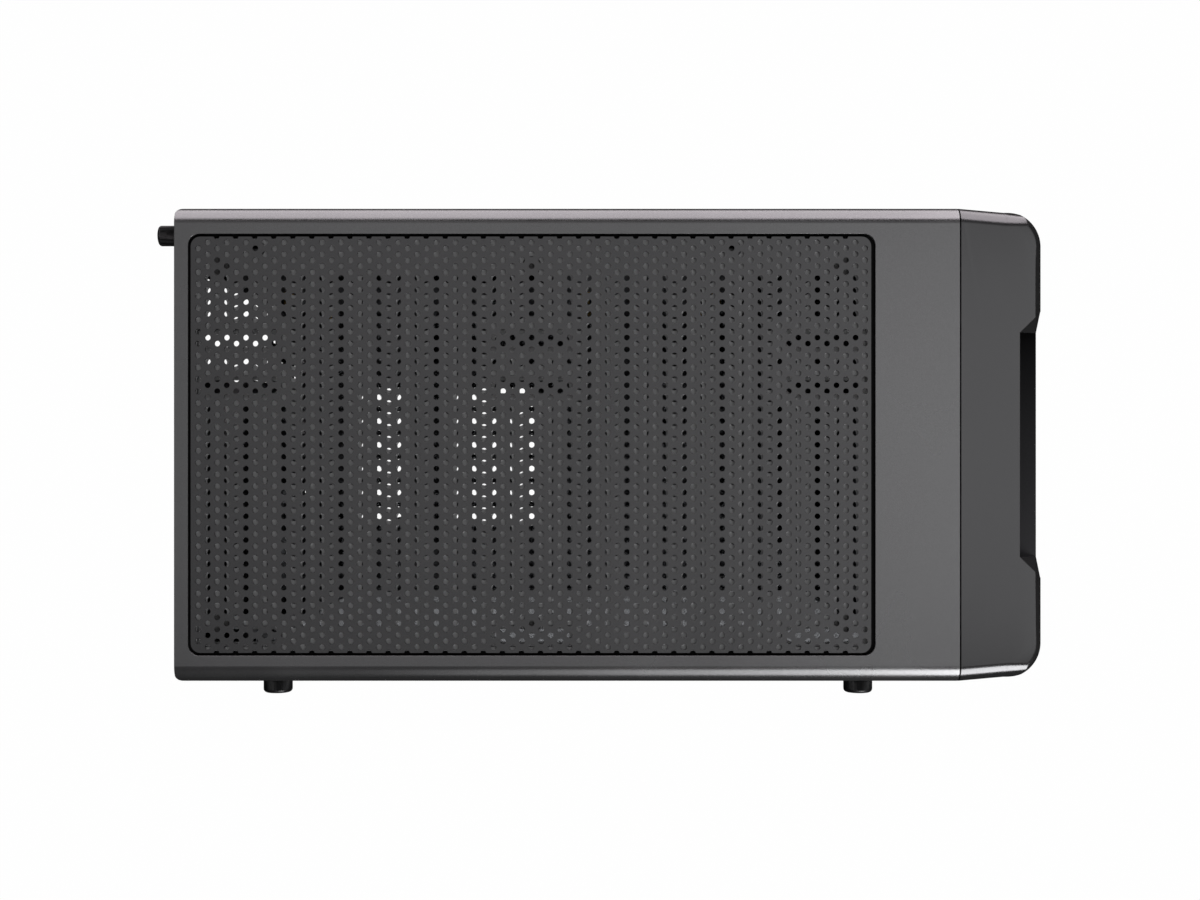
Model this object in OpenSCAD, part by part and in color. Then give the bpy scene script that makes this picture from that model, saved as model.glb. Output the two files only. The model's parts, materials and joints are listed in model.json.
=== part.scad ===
// Mid tower computer case: folded steel chassis, glass side, steel side, moulded front, vented top.
// +Z is up, the front faces -Y and the glass side faces -X. The origin lies on the floor under the
// middle of the whole outline, thumbscrews included.

/* [Case] */
// Outer width over the glass side and the steel side
case_w = 200; // [198:1:230]
// Depth of the chassis behind the front bezel
chassis_d = 330.5; // [330:0.5:420]
// Height of the feet with their pads
foot_h = 15; // [10:1:30]
// Height of the power supply chamber, shroud included
shroud_h = 96; // [94:1:110]
// Room from the main board up to the top cover
top_room = 22; // [22:1:80]
// Thickness of the chassis steel
sheet_t = 1; // [0.6:0.1:1.4]

/* [Top] */
// Thickness of the top cover
cover_t = 2; // [1.6:0.1:3]
// Outer radius of the cover's long edges
cover_r = 7; // [5:0.5:9]
// Length of the magnetic dust filter
filter_l = 286.3; // [270:0.1:300]
// Width of the magnetic dust filter
filter_w = 174.8; // [170:0.1:178]
// Thickness of the dust filter sheet
filter_t = 1; // [0.6:0.1:1.1]
// Width of the dark line round the filter
filter_gap = 1.2; // [0.3:0.1:2]
// Hole of the dust filter
filter_hole_d = 4.9; // [3:0.1:5.6]
// Hole of the top vent
vent_hole_d = 6.2; // [3:0.1:8]

/* [Front] */
// Depth of the front bezel
bezel_d = 34; // [30:1:50]
// Wall of the front bezel
bezel_wall = 2.5; // [2:0.1:3]
// Outer corner radius of the bezel in plan
bezel_r = 15; // [12:1:17]
// Inward taper of each bezel side
bezel_taper = 1.7; // [0:0.1:3]
// Width of the dark centre panel
grille_w = 94.4; // [80:0.2:100]
// Depth of the notch over the centre panel
notch_d = 9.3; // [7:0.1:11]
// Drop of the dark ledge below the top
notch_drop = 4; // [3:0.5:8]

/* [Sides] */
// Thickness of the glass
glass_t = 4; // [3:0.5:5]
// Thickness of the steel side panel
panel_t = 0.8; // [0.6:0.1:1.2]
// Head diameter of the glass thumbscrews
knob_d = 12.4; // [8:0.2:14]
// Length of a glass thumbscrew head
knob_l = 6.7; // [4:0.1:12]
// Head diameter of the rear thumbscrews
thumb_d = 8.8; // [7:0.2:10]
// Length of a rear thumbscrew head
thumb_l = 11; // [8:0.5:14]

/* [Fans] */
// Width of a 120 mm fan
fan_w = 120; // [119:0.5:120]
// Screw spacing of a 120 mm fan
fan_pitch = 105; // [104:0.5:106]
// Depth of a fan
fan_t = 25; // [20:1:28]
// Number of rotor blades
blade_count = 7; // [5:1:9]

/* [Controls] */
// Diameter of the power button
power_d = 16; // [12:0.5:18]
// Diameter of the reset button
reset_d = 7; // [5:0.5:8]
// Travel of both buttons
button_travel = 1.5; // [1:0.1:2]

/* [Hidden] */
$fn = 48;

// Shared clearances and cuts
cut = 2;
seat_gap = 0.3;
slip_gap = 0.3;
trim_fit = 0.1;
button_cap_out = 0.4;
seam_gap = 0.5;
hem_gap = 0.5;

// Standard computer parts that the case takes
board_h = 305;
board_lift = 12;
io_drop = 11;
io_w = 44.45;
io_h = 158.75;
io_board_gap = 0.1;
slot_pitch = 20.32;
slot_count = 7;
slot_to_io = 13.6;
standoff_h = 6.3;
psu_w = 150;
psu_h = 86;
psu_depth = 140;
drive_w = 101.6;
drive_l = 147;

// Outline of the case
case_d = bezel_d + chassis_d;
case_h = foot_h + shroud_h + board_lift + board_h + top_room;
xl = -case_w / 2;
xr = case_w / 2;
yf = -case_d / 2;
yr = case_d / 2;
seam_y = yf + bezel_d;

// Faces of the chassis
washer_t = 1.2;
nut_l = 5;
side_room = glass_t + washer_t + seat_gap;
ch_l = xl + side_room;
ch_r = xr - side_room;
ch_y0 = seam_y + seam_gap;
ch_y1 = yr - panel_t - seat_gap;
in_y0 = ch_y0 + sheet_t;
in_y1 = ch_y1 - sheet_t;
floor_z = foot_h + sheet_t;
deck_z = case_h - cover_t;
under_z = deck_z - sheet_t;
shroud_z = foot_h + shroud_h;
shroud_x0 = ch_l + sheet_t + nut_l + sheet_t;
skirt_h = 12;
side_z0 = foot_h + hem_gap + sheet_t;
side_z1 = case_h - skirt_h - hem_gap;
rail_h = 27;
lip_h = 12;
post_w = 16;

// The outline with the thumbscrews is centred on the origin
shift_x = knob_l / 2;
shift_y = -(thumb_l - button_cap_out) / 2;

// Main board tray and the rear cut-outs that line up with it
tray_back = 18.3;
tray_x = xr - tray_back;
tray_d = 280;
tray_y0 = in_y1 - tray_d;
board_z1 = case_h - top_room;
board_rear_gap = 1.2;
board_y1 = in_y1 - board_rear_gap;
board_edge = 10.16;
board_cols = [0, 157.48, 227.33];
board_rows = [0, 154.94, 281.94];
io_x1 = tray_x - standoff_h - io_board_gap;
io_x0 = io_x1 - io_w;
io_z1 = board_z1 - io_drop;
io_z0 = io_z1 - io_h;

module at_case() translate([shift_x, shift_y, 0]) children();

// Flat sheets: across X, across Y, and level ones
module plate_x(x, t) translate([x, 0, 0]) rotate([90, 0, 90]) linear_extrude(t) children();
module plate_y(y, t) translate([0, y + t, 0]) rotate([90, 0, 0]) linear_extrude(t) children();
module plate_z(z, t) translate([0, 0, z]) linear_extrude(t) children();

// Flat outlines
module span(x0, y0, x1, y1) translate([x0, y0]) square([x1 - x0, y1 - y0]);
module rounded(w, h, r) {
    square([w - 2 * r, h], center = true);
    square([w, h - 2 * r], center = true);
    for (x = [-1, 1], y = [-1, 1]) translate([x * (w / 2 - r), y * (h / 2 - r)]) circle(r);
}
module slot(l, w) {
    square([l - w, w], center = true);
    for (x = [-1, 1]) translate([x * (l - w) / 2, 0]) circle(w / 2);
}
module four(w, h) for (x = [-1, 1], y = [-1, 1]) translate([x * w / 2, y * h / 2]) children();
module box(x0, y0, z0, x1, y1, z1) translate([x0, y0, z0]) cube([x1 - x0, y1 - y0, z1 - z0]);

// Top cover

cover_inner_r = 4;
cover_rear_r = 3;
window_r = 4.8;
filter_rear = 7;
filter_y = yr - filter_rear - filter_l / 2;

// Cross-section of the cover: a channel with round long edges
module channel(w, z1, r) {
    span(-w / 2 + r, z1 - skirt_h, w / 2 - r, z1);
    span(-w / 2, z1 - skirt_h, w / 2, z1 - r);
    for (x = [-1, 1]) translate([x * (w / 2 - r), z1 - r]) circle(r);
}

module top_cover() at_case() color("#5a5a5c") difference() {
    intersection() {
        plate_y(ch_y0, yr - ch_y0) difference() {
            channel(case_w, case_h, cover_r);
            translate([0, -cut]) channel(case_w - 2 * cover_t, deck_z + cut, cover_inner_r);
            span(xl + cover_t, case_h - skirt_h - cut, xr - cover_t, deck_z - cover_inner_r);
        }
        plate_z(case_h - skirt_h, skirt_h) {
            span(xl, ch_y0, xr, yr - cover_rear_r);
            span(xl + cover_rear_r, ch_y0, xr - cover_rear_r, yr);
            for (x = [-1, 1]) translate([x * (case_w / 2 - cover_rear_r), yr - cover_rear_r])
                circle(cover_rear_r);
        }
    }
    plate_z(deck_z - cut, cover_t + 2 * cut) translate([0, filter_y])
        rounded(filter_w + 2 * filter_gap, filter_l + 2 * filter_gap, window_r);
}

// Top panel of the chassis, with the vent and nine sunk pads for fan screws

vent_pitch = 10;
vent_cols = 28;
vent_rows = 14;
vent_x = -0.35;
pad_l = 36;
pad_w = 9.4;
pad_depth = 2.2;
pad_slot_l = 31.6;
pad_slot_w = 5.4;
pad_pitch = 122.9;
pad_x = [-80.5, 24.5, 44];
cable_hole_d = 6.6;
cable_hole_x = 82.5;
cable_hole_y = [147.5, -53];

// True where a vent hole would run into a sunk pad
function near_pad(x, y) = len([for (px = pad_x, i = [-1:1])
    if (abs(x - px) < pad_w / 2 + vent_hole_d && abs(y - filter_y - i * pad_pitch) < pad_l / 2 + vent_hole_d)
        1]) > 0;

module pads() for (px = pad_x, i = [-1:1]) translate([px, filter_y + i * pad_pitch]) rotate(90) children();

module top_panel() at_case() color("#4a4a4d") {
    difference() {
        plate_z(under_z, sheet_t) difference() {
            span(ch_l, ch_y0, ch_r, ch_y1);
            pads() rounded(pad_l, pad_w, sheet_t);
            for (i = [0:vent_cols - 1], j = [0:vent_rows - 1]) {
                x = vent_x + (j - (vent_rows - 1) / 2) * vent_pitch;
                y = filter_y + (i - (vent_cols - 1) / 2) * vent_pitch;
                if (!near_pad(x, y)) translate([x, y]) circle(d = vent_hole_d, $fn = 16);
            }
            for (y = cable_hole_y) translate([cable_hole_x, y]) circle(d = cable_hole_d);
        }
    }
    plate_z(deck_z - pad_depth, pad_depth) pads() difference() {
        rounded(pad_l + 2 * sheet_t, pad_w + 2 * sheet_t, 2 * sheet_t);
        rounded(pad_l, pad_w, sheet_t);
    }
    plate_z(deck_z - pad_depth - sheet_t, sheet_t) pads() difference() {
        rounded(pad_l + 2 * sheet_t, pad_w + 2 * sheet_t, 2 * sheet_t);
        slot(pad_slot_l, pad_slot_w);
    }
    difference() {
        box(ch_l, in_y0, under_z - rail_h, ch_l + sheet_t, in_y1, under_z);
        glass_bolts(ch_l - cut, rail_hole_d, 2 * cut + sheet_t);
    }
    box(ch_r - sheet_t, in_y0, under_z - lip_h, ch_r, in_y1, under_z);
}

// Magnetic dust filter, lifted off the top

filter_r = 4;
filter_pitch_y = 8;
filter_pitch_x = 10;
filter_cols = 17;
filter_rows = 17;
magnet_d = 8;
magnet_inset = 12;
filter_z = case_h - filter_t;

module top_filter() at_case() color("#454548") plate_z(filter_z, filter_t) translate([0, filter_y])
    difference() {
        rounded(filter_w, filter_l, filter_r);
        for (i = [-filter_cols:filter_cols]) {
            odd = abs(i) % 2;
            for (j = [0:filter_rows - 1 - odd])
                translate([(j - (filter_rows - 1 - odd) / 2) * filter_pitch_x, i * filter_pitch_y])
                    circle(d = filter_hole_d, $fn = 16);
        }
    }

module filter_magnets() at_case() color("#3a3a3c") plate_z(deck_z + seat_gap, filter_z - deck_z - seat_gap)
    translate([0, filter_y]) {
        four(filter_w - 2 * magnet_inset, filter_l - 2 * magnet_inset) circle(d = magnet_d);
        for (x = [-1, 1]) translate([x * (filter_w / 2 - magnet_inset), 0]) circle(d = magnet_d);
    }

// Rear panel with its stamped fan grille, port opening, card slots and power supply opening

slot_open_h = 15;
slot_cover_h = 18.4;
slot_cover_t = 0.8;
slot_l = 102;
slot_z1 = io_z0 - slot_to_io;
ledge_out = 11;
tongue_gap = 3.7;
ledge_x = tray_x - tongue_gap - slot_l;
ledge_margin = 4;
tab_w = 14;
slot_screw_d = 3.5;
slot_hole_d = 3.9;
tab_hole_d = 4.4;
slot_head_d = 8;
head_top_share = 0.8;
slot_head_t = 2.2;
slot_screw_l = 7;
fan_edge_gap = 2.5;
fan_drop = 52;
fan_x = io_x0 - fan_edge_gap - fan_w / 2;
fan_z = io_z1 - fan_drop;
fan_bore_margin = 2.5;
fan_bore_d = fan_w - 2 * fan_bore_margin;
grille_rings = 5;
grille_ring_w = 3.4;
grille_hub_d = 24;
grille_spoke_w = 5;
fan_hole_d = 4.6;
psu_pad_t = 3;
psu_side_gap = 3.5;
psu_x = shroud_x0 + sheet_t + psu_side_gap + psu_w / 2;
psu_z = floor_z + psu_pad_t + psu_h / 2;
psu_ear = 12;
psu_hole_d = 3.9;
psu_holes = [[6, 16], [6, 80], [144, 16], [120, 80]];
thumb_inset = 10;
thumb_lift = 17;
thumb_drop = 6;
thumb_x = xr - thumb_inset;
thumb_z = [side_z0 + thumb_lift, side_z1 - thumb_drop];
thumb_shank_d = 3.5;
thumb_hole_d = 3.9;

function slot_z(i) = slot_z1 - i * slot_pitch;

module ring_slot(r0, r1) difference() {
    circle(r1);
    circle(r0);
    for (a = [45, 135]) rotate(a) square([3 * r1, grille_spoke_w], center = true);
}

module fan_grille() {
    ring_pitch = (fan_bore_d / 2 - grille_hub_d / 2) / grille_rings;
    for (i = [0:grille_rings - 1]) {
        r1 = fan_bore_d / 2 - i * ring_pitch;
        ring_slot(r1 - ring_pitch + grille_ring_w, r1);
    }
}

module psu_opening() translate([psu_x - psu_w / 2, psu_z - psu_h / 2]) {
    span(psu_ear, psu_ear / 2, psu_w - psu_ear, psu_holes[3][1] - psu_ear / 2);
    span(psu_ear, psu_ear / 2, psu_holes[3][0] - psu_ear / 2, psu_h - psu_ear / 2);
    for (p = psu_holes) translate(p) circle(d = psu_hole_d);
}

module rear_panel() at_case() color("#3c3c3f") difference() {
    union() {
        plate_y(in_y1, sheet_t) difference() {
            span(ch_l, floor_z, ch_r, under_z);
            span(io_x0, io_z0, io_x1, io_z1);
            translate([fan_x, fan_z]) fan_grille();
            translate([fan_x, fan_z]) four(fan_pitch, fan_pitch) circle(d = fan_hole_d);
            for (i = [0:slot_count - 1])
                span(ledge_x - ledge_margin, slot_z(i) - slot_open_h / 2,
                    ledge_x + slot_l, slot_z(i) + slot_open_h / 2);
            psu_opening();
            for (z = thumb_z) translate([thumb_x, z]) circle(d = thumb_hole_d);
        }
        box(ch_l, in_y1 - post_w, floor_z + rail_h, ch_l + sheet_t, in_y1, under_z - rail_h);
        box(ch_r - sheet_t, in_y1 - post_w, floor_z + lip_h, ch_r, in_y1, under_z - lip_h);
        box(ledge_x, in_y1, slot_z(slot_count - 1) - slot_pitch / 2, ledge_x + sheet_t, ch_y1 + ledge_out,
            slot_z1 + slot_pitch / 2);
    }
    for (i = [0:slot_count - 1]) translate([ledge_x - cut, ch_y1 + ledge_out / 2, slot_z(i)])
        rotate([0, 90, 0]) cylinder(d = slot_hole_d, h = sheet_t + 2 * cut);
}

// Card slot covers: a slit plate inside the panel and a tab screwed to the ledge outside

slit_w = 3;
slit_h = 13.6;
slit_pitch = 6;
slit_count = 14;
tongue_w = 10;
tongue_l = 4;

module slot_cover(i) at_case() color("#47474a") {
    z = slot_z(i);
    plate_y(in_y1 - slot_cover_t, slot_cover_t) difference() {
        union() {
            span(ledge_x - slot_cover_t, z - tab_w / 2, ledge_x + sheet_t, z + tab_w / 2);
            span(ledge_x + sheet_t, z - slot_cover_h / 2, ledge_x + slot_l - tongue_l, z + slot_cover_h / 2);
            span(ledge_x + slot_l - tongue_l, z - tongue_w / 2, ledge_x + slot_l, z + tongue_w / 2);
        }
        for (k = [1:slit_count]) translate([ledge_x + k * slit_pitch + slit_w, z]) rotate(90)
            slot(slit_h, slit_w);
    }
    difference() {
        box(ledge_x - slot_cover_t, in_y1 - slot_cover_t, z - tab_w / 2,
            ledge_x, ch_y1 + ledge_out, z + tab_w / 2);
        translate([ledge_x - cut, ch_y1 + ledge_out / 2, z])
            rotate([0, 90, 0]) cylinder(d = tab_hole_d, h = 2 * cut);
    }
}

module slot_screws() at_case() color("#2a2a2c") for (i = [0:slot_count - 1])
    translate([ledge_x - slot_cover_t, ch_y1 + ledge_out / 2, slot_z(i)]) rotate([0, 90, 0]) {
        cylinder(d = slot_screw_d, h = slot_screw_l);
        translate([0, 0, -slot_head_t])
            cylinder(d1 = slot_head_d * head_top_share, d2 = slot_head_d, h = slot_head_t);
    }

// Bottom pan

vent_slot_cols = 6;
intake_slot_l = 13.4;
intake_slot_w = 3.6;
intake_pitch_x = 16.15;
intake_pitch_y = 6.465;
intake_rows = 19;
intake_inset = 72.15;
intake_shift = 1.5;
intake_x = psu_x + intake_shift;
intake_y = in_y1 - intake_inset;

// A block of slots about (x, y), across the case and in rows from rear to front
module vent_slots(x, y, rows, pitch_x, pitch_y, l, w)
    for (i = [0:vent_slot_cols - 1], j = [0:rows - 1])
        translate([x + (i - (vent_slot_cols - 1) / 2) * pitch_x, y + (j - (rows - 1) / 2) * pitch_y])
            slot(l, w);

module bottom_pan() at_case() color("#3c3c3f") {
    plate_z(foot_h, sheet_t) difference() {
        span(ch_l, ch_y0, ch_r, ch_y1);
        vent_slots(intake_x, intake_y, intake_rows,
            intake_pitch_x, intake_pitch_y, intake_slot_l, intake_slot_w);
    }
    difference() {
        box(ch_l, in_y0, floor_z, ch_l + sheet_t, in_y1, floor_z + rail_h);
        glass_bolts(ch_l - cut, rail_hole_d, 2 * cut + sheet_t);
    }
    box(ch_r - sheet_t, in_y0, floor_z, ch_r, in_y1, floor_z + lip_h);
}

// Feet and their rubber pads

foot_l = 48;
foot_w = 22;
foot_pad_t = 3;
foot_pad_inset = 2;
foot_side_gap = 4;
foot_front = 32;
foot_rear = 42;
foot_x = case_w / 2 - foot_l / 2 - foot_side_gap;
foot_y = [ch_y0 + foot_front, ch_y1 - foot_rear];

module at_feet() for (x = [-1, 1], y = foot_y) translate([x * foot_x, y]) children();

module feet() at_case() color("#232325") difference() {
    plate_z(foot_pad_t - foot_pad_inset, foot_h - foot_pad_t + foot_pad_inset) at_feet() slot(foot_l, foot_w);
    plate_z(-cut, foot_pad_t + cut) at_feet() slot(foot_l - 2 * foot_pad_inset, foot_w - 2 * foot_pad_inset);
}

module foot_pads() at_case() color("#1a1a1b") plate_z(0, foot_pad_t) at_feet()
    slot(foot_l - 2 * foot_pad_inset, foot_w - 2 * foot_pad_inset);

// Power supply pads

psu_pad_l = 26;
psu_pad_w = 12;

module psu_pads() at_case() color("#161617") plate_z(floor_z, psu_pad_t)
    translate([psu_x, in_y1 - psu_depth / 2]) four(psu_w - psu_pad_l, psu_depth - psu_pad_w)
        square([psu_pad_l, psu_pad_w], center = true);

// Power supply shroud

shroud_vent_rows = [5, 9];
shroud_vent_insets = [39.4, 110.55];
shroud_slot_l = 12.2;
shroud_slot_w = 3.3;
shroud_pitch_x = 14.8;
shroud_pitch_y = 5.925;
shroud_notch_l = 46;
shroud_notch_w = 126;
shroud_cable_l = 44;
shroud_cable_w = 16;
shroud_cable_inset = 16;
shroud_cable_x = tray_x - shroud_cable_inset;

module psu_shroud() at_case() color("#3a3a3d") {
    plate_z(shroud_z - sheet_t, sheet_t) difference() {
        span(shroud_x0, in_y0, ch_r - sheet_t, in_y1);
        for (i = [0, 1]) vent_slots(intake_x, in_y1 - shroud_vent_insets[i], shroud_vent_rows[i],
            shroud_pitch_x, shroud_pitch_y, shroud_slot_l, shroud_slot_w);
        span(-shroud_notch_w / 2, in_y0 - cut, shroud_notch_w / 2, in_y0 + shroud_notch_l);
        for (y = [tray_y0 + shroud_cable_l, in_y1 - 2 * shroud_cable_l])
            translate([shroud_cable_x, y]) rotate(90) slot(shroud_cable_l, shroud_cable_w);
    }
    box(shroud_x0, in_y0, floor_z, shroud_x0 + sheet_t, in_y1, shroud_z - sheet_t);
}

// Main board tray

cpu_w = 120;
cpu_h = 110;
cpu_r = 8;
cpu_inset = 96;
cpu_drop = 78;
cpu_y = in_y1 - cpu_inset;
cpu_z = board_z1 - cpu_drop;
grommet_l = 70;
grommet_w = 26;
grommet_lip = 3;
grommet_t = 1.4;
grommet_inset = 20;
grommet_drops = [62, 152, 242];
top_cable_insets = [60, 160];
grommet_y = tray_y0 + grommet_inset;
grommet_z = [for (d = grommet_drops) board_z1 - d];
top_cable_y = [for (d = top_cable_insets) in_y1 - d];
top_cable_l = 46;
top_cable_w = 14;
standoff_stud_d = 3.2;
ssd_inset = 178;
ssd_lifts = [62, 146];
ssd_y = in_y1 - ssd_inset;
ssd_z = [for (d = ssd_lifts) shroud_z + d];
standoff_zs = [for (r = board_rows) board_z1 - board_edge - r];
standoff_ys = [for (c = board_cols) board_y1 - board_edge - c];

module motherboard_tray() at_case() color("#414144") {
    plate_x(tray_x, sheet_t) difference() {
        span(tray_y0, shroud_z, in_y1, under_z);
        translate([cpu_y, cpu_z]) rounded(cpu_w, cpu_h, cpu_r);
        for (z = grommet_z) translate([grommet_y, z]) rotate(90) slot(grommet_l, grommet_w);
        for (y = top_cable_y) translate([y, board_z1 + top_cable_w / 2 - sheet_t])
            slot(top_cable_l, top_cable_w);
        for (y = standoff_ys, z = standoff_zs) translate([y, z]) circle(d = standoff_stud_d + 2 * trim_fit);
    }
    box(tray_x + sheet_t, tray_y0, shroud_z, ch_r - sheet_t, tray_y0 + sheet_t, under_z);
}

module cable_grommets() at_case() color("#1c1c1d") for (z = grommet_z) {
    plate_x(tray_x - grommet_t, grommet_t) translate([grommet_y, z]) rotate(90) difference() {
        slot(grommet_l + 2 * grommet_lip, grommet_w + 2 * grommet_lip);
        slot(grommet_l - 2 * grommet_lip, grommet_w - 2 * grommet_lip);
    }
    plate_x(tray_x, sheet_t + grommet_t) translate([grommet_y, z]) rotate(90) difference() {
        slot(grommet_l - 2 * trim_fit, grommet_w - 2 * trim_fit);
        slot(grommet_l - 2 * grommet_lip, grommet_w - 2 * grommet_lip);
    }
}

// Hexagonal brass standoffs, their studs through the tray

standoff_d = 5.8;
standoff_bore_d = 2.6;
standoff_bore_l = 5;
standoff_stud_l = 3;

module standoffs() at_case() color("#b8954a") for (y = standoff_ys, z = standoff_zs)
    translate([tray_x, y, z]) rotate([0, -90, 0]) difference() {
        union() {
            cylinder(d = standoff_d, h = standoff_h, $fn = 6);
            translate([0, 0, -standoff_stud_l]) cylinder(d = standoff_stud_d, h = standoff_stud_l);
        }
        translate([0, 0, standoff_h - standoff_bore_l])
            cylinder(d = standoff_bore_d, h = standoff_bore_l + cut);
    }

// Brackets for two small drives on the back of the tray

ssd_w = 100;
ssd_h = 70;
ssd_out = 8;
ssd_window = 36;
ssd_hole_d = 3.6;
ssd_hole_x = 76.6;
ssd_hole_z = 50;

module ssd_bracket(z) at_case() color("#333336") {
    plate_x(tray_x + sheet_t + ssd_out - sheet_t, sheet_t) translate([ssd_y, z]) difference() {
        rounded(ssd_w, ssd_h, 3 * sheet_t);
        rounded(ssd_window, ssd_window, 3 * sheet_t);
        four(ssd_hole_x, ssd_hole_z) circle(d = ssd_hole_d);
    }
    for (s = [-1, 1]) box(tray_x + sheet_t, ssd_y - ssd_w / 4, z + s * (ssd_h - sheet_t) / 2 - sheet_t / 2,
        tray_x + sheet_t + ssd_out, ssd_y + ssd_w / 4, z + s * (ssd_h - sheet_t) / 2 + sheet_t / 2);
}
module ssd_bracket_lower() ssd_bracket(ssd_z[0]);
module ssd_bracket_upper() ssd_bracket(ssd_z[1]);

// Drive cage under the shroud and its two trays

bay_h = 30;
bay_wall = 3;
tray_fit = 0.3;
drive_tray_w = drive_w + 2 * bay_wall;
cage_w = drive_tray_w + 2 * tray_fit + 2 * sheet_t;
cage_h = 2 * bay_h + 3 * sheet_t;
cage_side_gap = 4;
cage_end_gap = 4;
cage_front_gap = 16;
cage_x1 = ch_r - sheet_t - cage_side_gap;
cage_x0 = cage_x1 - drive_l - cage_end_gap;
cage_y = in_y0 + cage_front_gap + cage_w / 2;
cage_shelf = 8;
cage_vent_l = 100;
cage_vent_w = 6;

module drive_cage() at_case() color("#3a3a3d") difference() {
    plate_x(cage_x0, cage_x1 - cage_x0) translate([cage_y, floor_z]) {
        difference() {
            span(-cage_w / 2, 0, cage_w / 2, cage_h);
            span(-cage_w / 2 + sheet_t, sheet_t, cage_w / 2 - sheet_t, cage_h - sheet_t);
        }
        for (s = [-1, 1]) translate([s * (cage_w - 2 * sheet_t - cage_shelf) / 2, bay_h + 1.5 * sheet_t])
            square([cage_shelf, sheet_t], center = true);
    }
    plate_z(floor_z - cut, cage_h + 2 * cut) translate([(cage_x0 + cage_x1) / 2, cage_y])
        for (k = [-2:2]) translate([0, k * 3 * cage_vent_w]) slot(cage_vent_l, cage_vent_w);
}

drive_tray_h = bay_h - 2 * tray_fit;
drive_floor_t = 2;
drive_front_t = 3;
grip_w = 40;
grip_h = 9;

module drive_tray(level) at_case() color("#28282a") {
    z = floor_z + sheet_t + level * (bay_h + sheet_t) + tray_fit;
    plate_x(cage_x0 + tray_fit, cage_x1 - cage_x0 - tray_fit) translate([cage_y, z]) difference() {
        span(-drive_tray_w / 2, 0, drive_tray_w / 2, drive_tray_h / 2);
        span(-drive_tray_w / 2 + bay_wall, drive_floor_t, drive_tray_w / 2 - bay_wall, drive_tray_h);
    }
    plate_x(cage_x1, drive_front_t) translate([cage_y, z]) difference() {
        span(-drive_tray_w / 2, 0, drive_tray_w / 2, drive_tray_h);
        translate([0, drive_tray_h / 2 + drive_floor_t]) slot(grip_w, grip_h);
    }
}
module drive_tray_lower() drive_tray(0);
module drive_tray_upper() drive_tray(1);

// Front frame of the chassis with three fan openings

front_fan_count = 3;
front_fan_step = 125;
front_fan_z = (floor_z + under_z) / 2;
front_open_d = 112;
clip_inset = 21;
clip_step = 170;
clip_x = case_w / 2 - clip_inset;
clip_z = [-clip_step, 0, clip_step];
clip_w = 6;
clip_h = 10;
control_inset = 33;
control_x = xr - control_inset;
lead_hole_w = 16;
lead_hole_h = 44;
lead_hole_drop = 100;
lead_hole_z = case_h - lead_hole_drop;

module front_frame() at_case() color("#3c3c3f") {
    plate_y(ch_y0, sheet_t) difference() {
        span(ch_l, floor_z, ch_r, under_z);
        for (i = [0:front_fan_count - 1]) translate([0, front_fan_z + (i - 1) * front_fan_step]) {
            circle(d = front_open_d);
            four(fan_pitch, fan_pitch) circle(d = fan_hole_d);
        }
        for (s = [-1, 1], z = clip_z) translate([s * clip_x, front_fan_z + z])
            square([clip_w, clip_h], center = true);
        translate([control_x, lead_hole_z]) rounded(lead_hole_w, lead_hole_h, clip_w / 2);
    }
    box(ch_l, in_y0, floor_z + rail_h, ch_l + sheet_t, in_y0 + post_w, under_z - rail_h);
    box(ch_r - sheet_t, in_y0, floor_z + lip_h, ch_r, in_y0 + post_w, under_z - lip_h);
}

// Front bezel: a moulded shell with a notched and recessed middle

bezel_z0 = foot_h + hem_gap + sheet_t;
recess_flare = 9;
recess_depth = 1.6;
bezel_edge_r = 1.7;
ledge_t = 2;
grille_lift = 14;
grille_z0 = bezel_z0 + grille_lift;
grille_z1 = case_h - notch_drop;
grille_t = 2;
notch_wall = 2.5;
rib_t = 2;
front_filter_t = 3;
front_filter_lap = 5;
front_filter_lift = 10;
front_filter_drop = 20;
front_filter_w = grille_w + 2 * front_filter_lap;
front_filter_z0 = bezel_z0 + front_filter_lift;
front_filter_z1 = case_h - front_filter_drop;
rib_d = 10;
clip_fit = 0.3;
clip_l = 7;
usb_w = 5.8;
usb_h = 13.6;
audio_d = 6.4;
led_d = 3;
power_drop = 25;
led_drops = [41, 47];
reset_drop = 58;
usb_drops = [76, 96];
audio_drops = [113, 125];
power_z = case_h - power_drop;
led_zs = [for (d = led_drops) case_h - d];
reset_z = case_h - reset_drop;
usb_zs = [for (d = usb_drops) case_h - d];
audio_zs = [for (d = audio_drops) case_h - d];

// Plan of the bezel, drawn in by the wall for its inner face
module bezel_plan(wall) {
    r = bezel_r - wall;
    w = case_w / 2 - wall;
    x = w - bezel_taper;
    polygon([[-w, seam_y + cut * sign(wall)], [w, seam_y + cut * sign(wall)], [w, seam_y], [x, yf + bezel_r],
        [-x, yf + bezel_r], [-w, seam_y]]);
    span(-x + r, yf + wall, x - r, yf + bezel_r);
    for (s = [-1, 1]) translate([s * (x - r), yf + bezel_r]) circle(r);
}

// Plan of the notch and of the recess: as wide as the centre panel at the back, flared to the front
module flared_plan(depth, front) {
    w = grille_w / 2;
    polygon([[-w - recess_flare, yf], [-w - recess_flare, yf - front], [w + recess_flare, yf - front],
        [w + recess_flare, yf], [w, yf + depth], [-w, yf + depth]]);
}

// Side view of the bezel with its rounded upper front edge
module bezel_side() {
    span(yf, bezel_z0, seam_y, case_h - bezel_edge_r);
    span(yf + bezel_edge_r, bezel_z0, seam_y, case_h);
    translate([yf + bezel_edge_r, case_h - bezel_edge_r]) circle(bezel_edge_r);
}

module at_controls(zs) for (z = zs) translate([control_x, z]) children();

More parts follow.
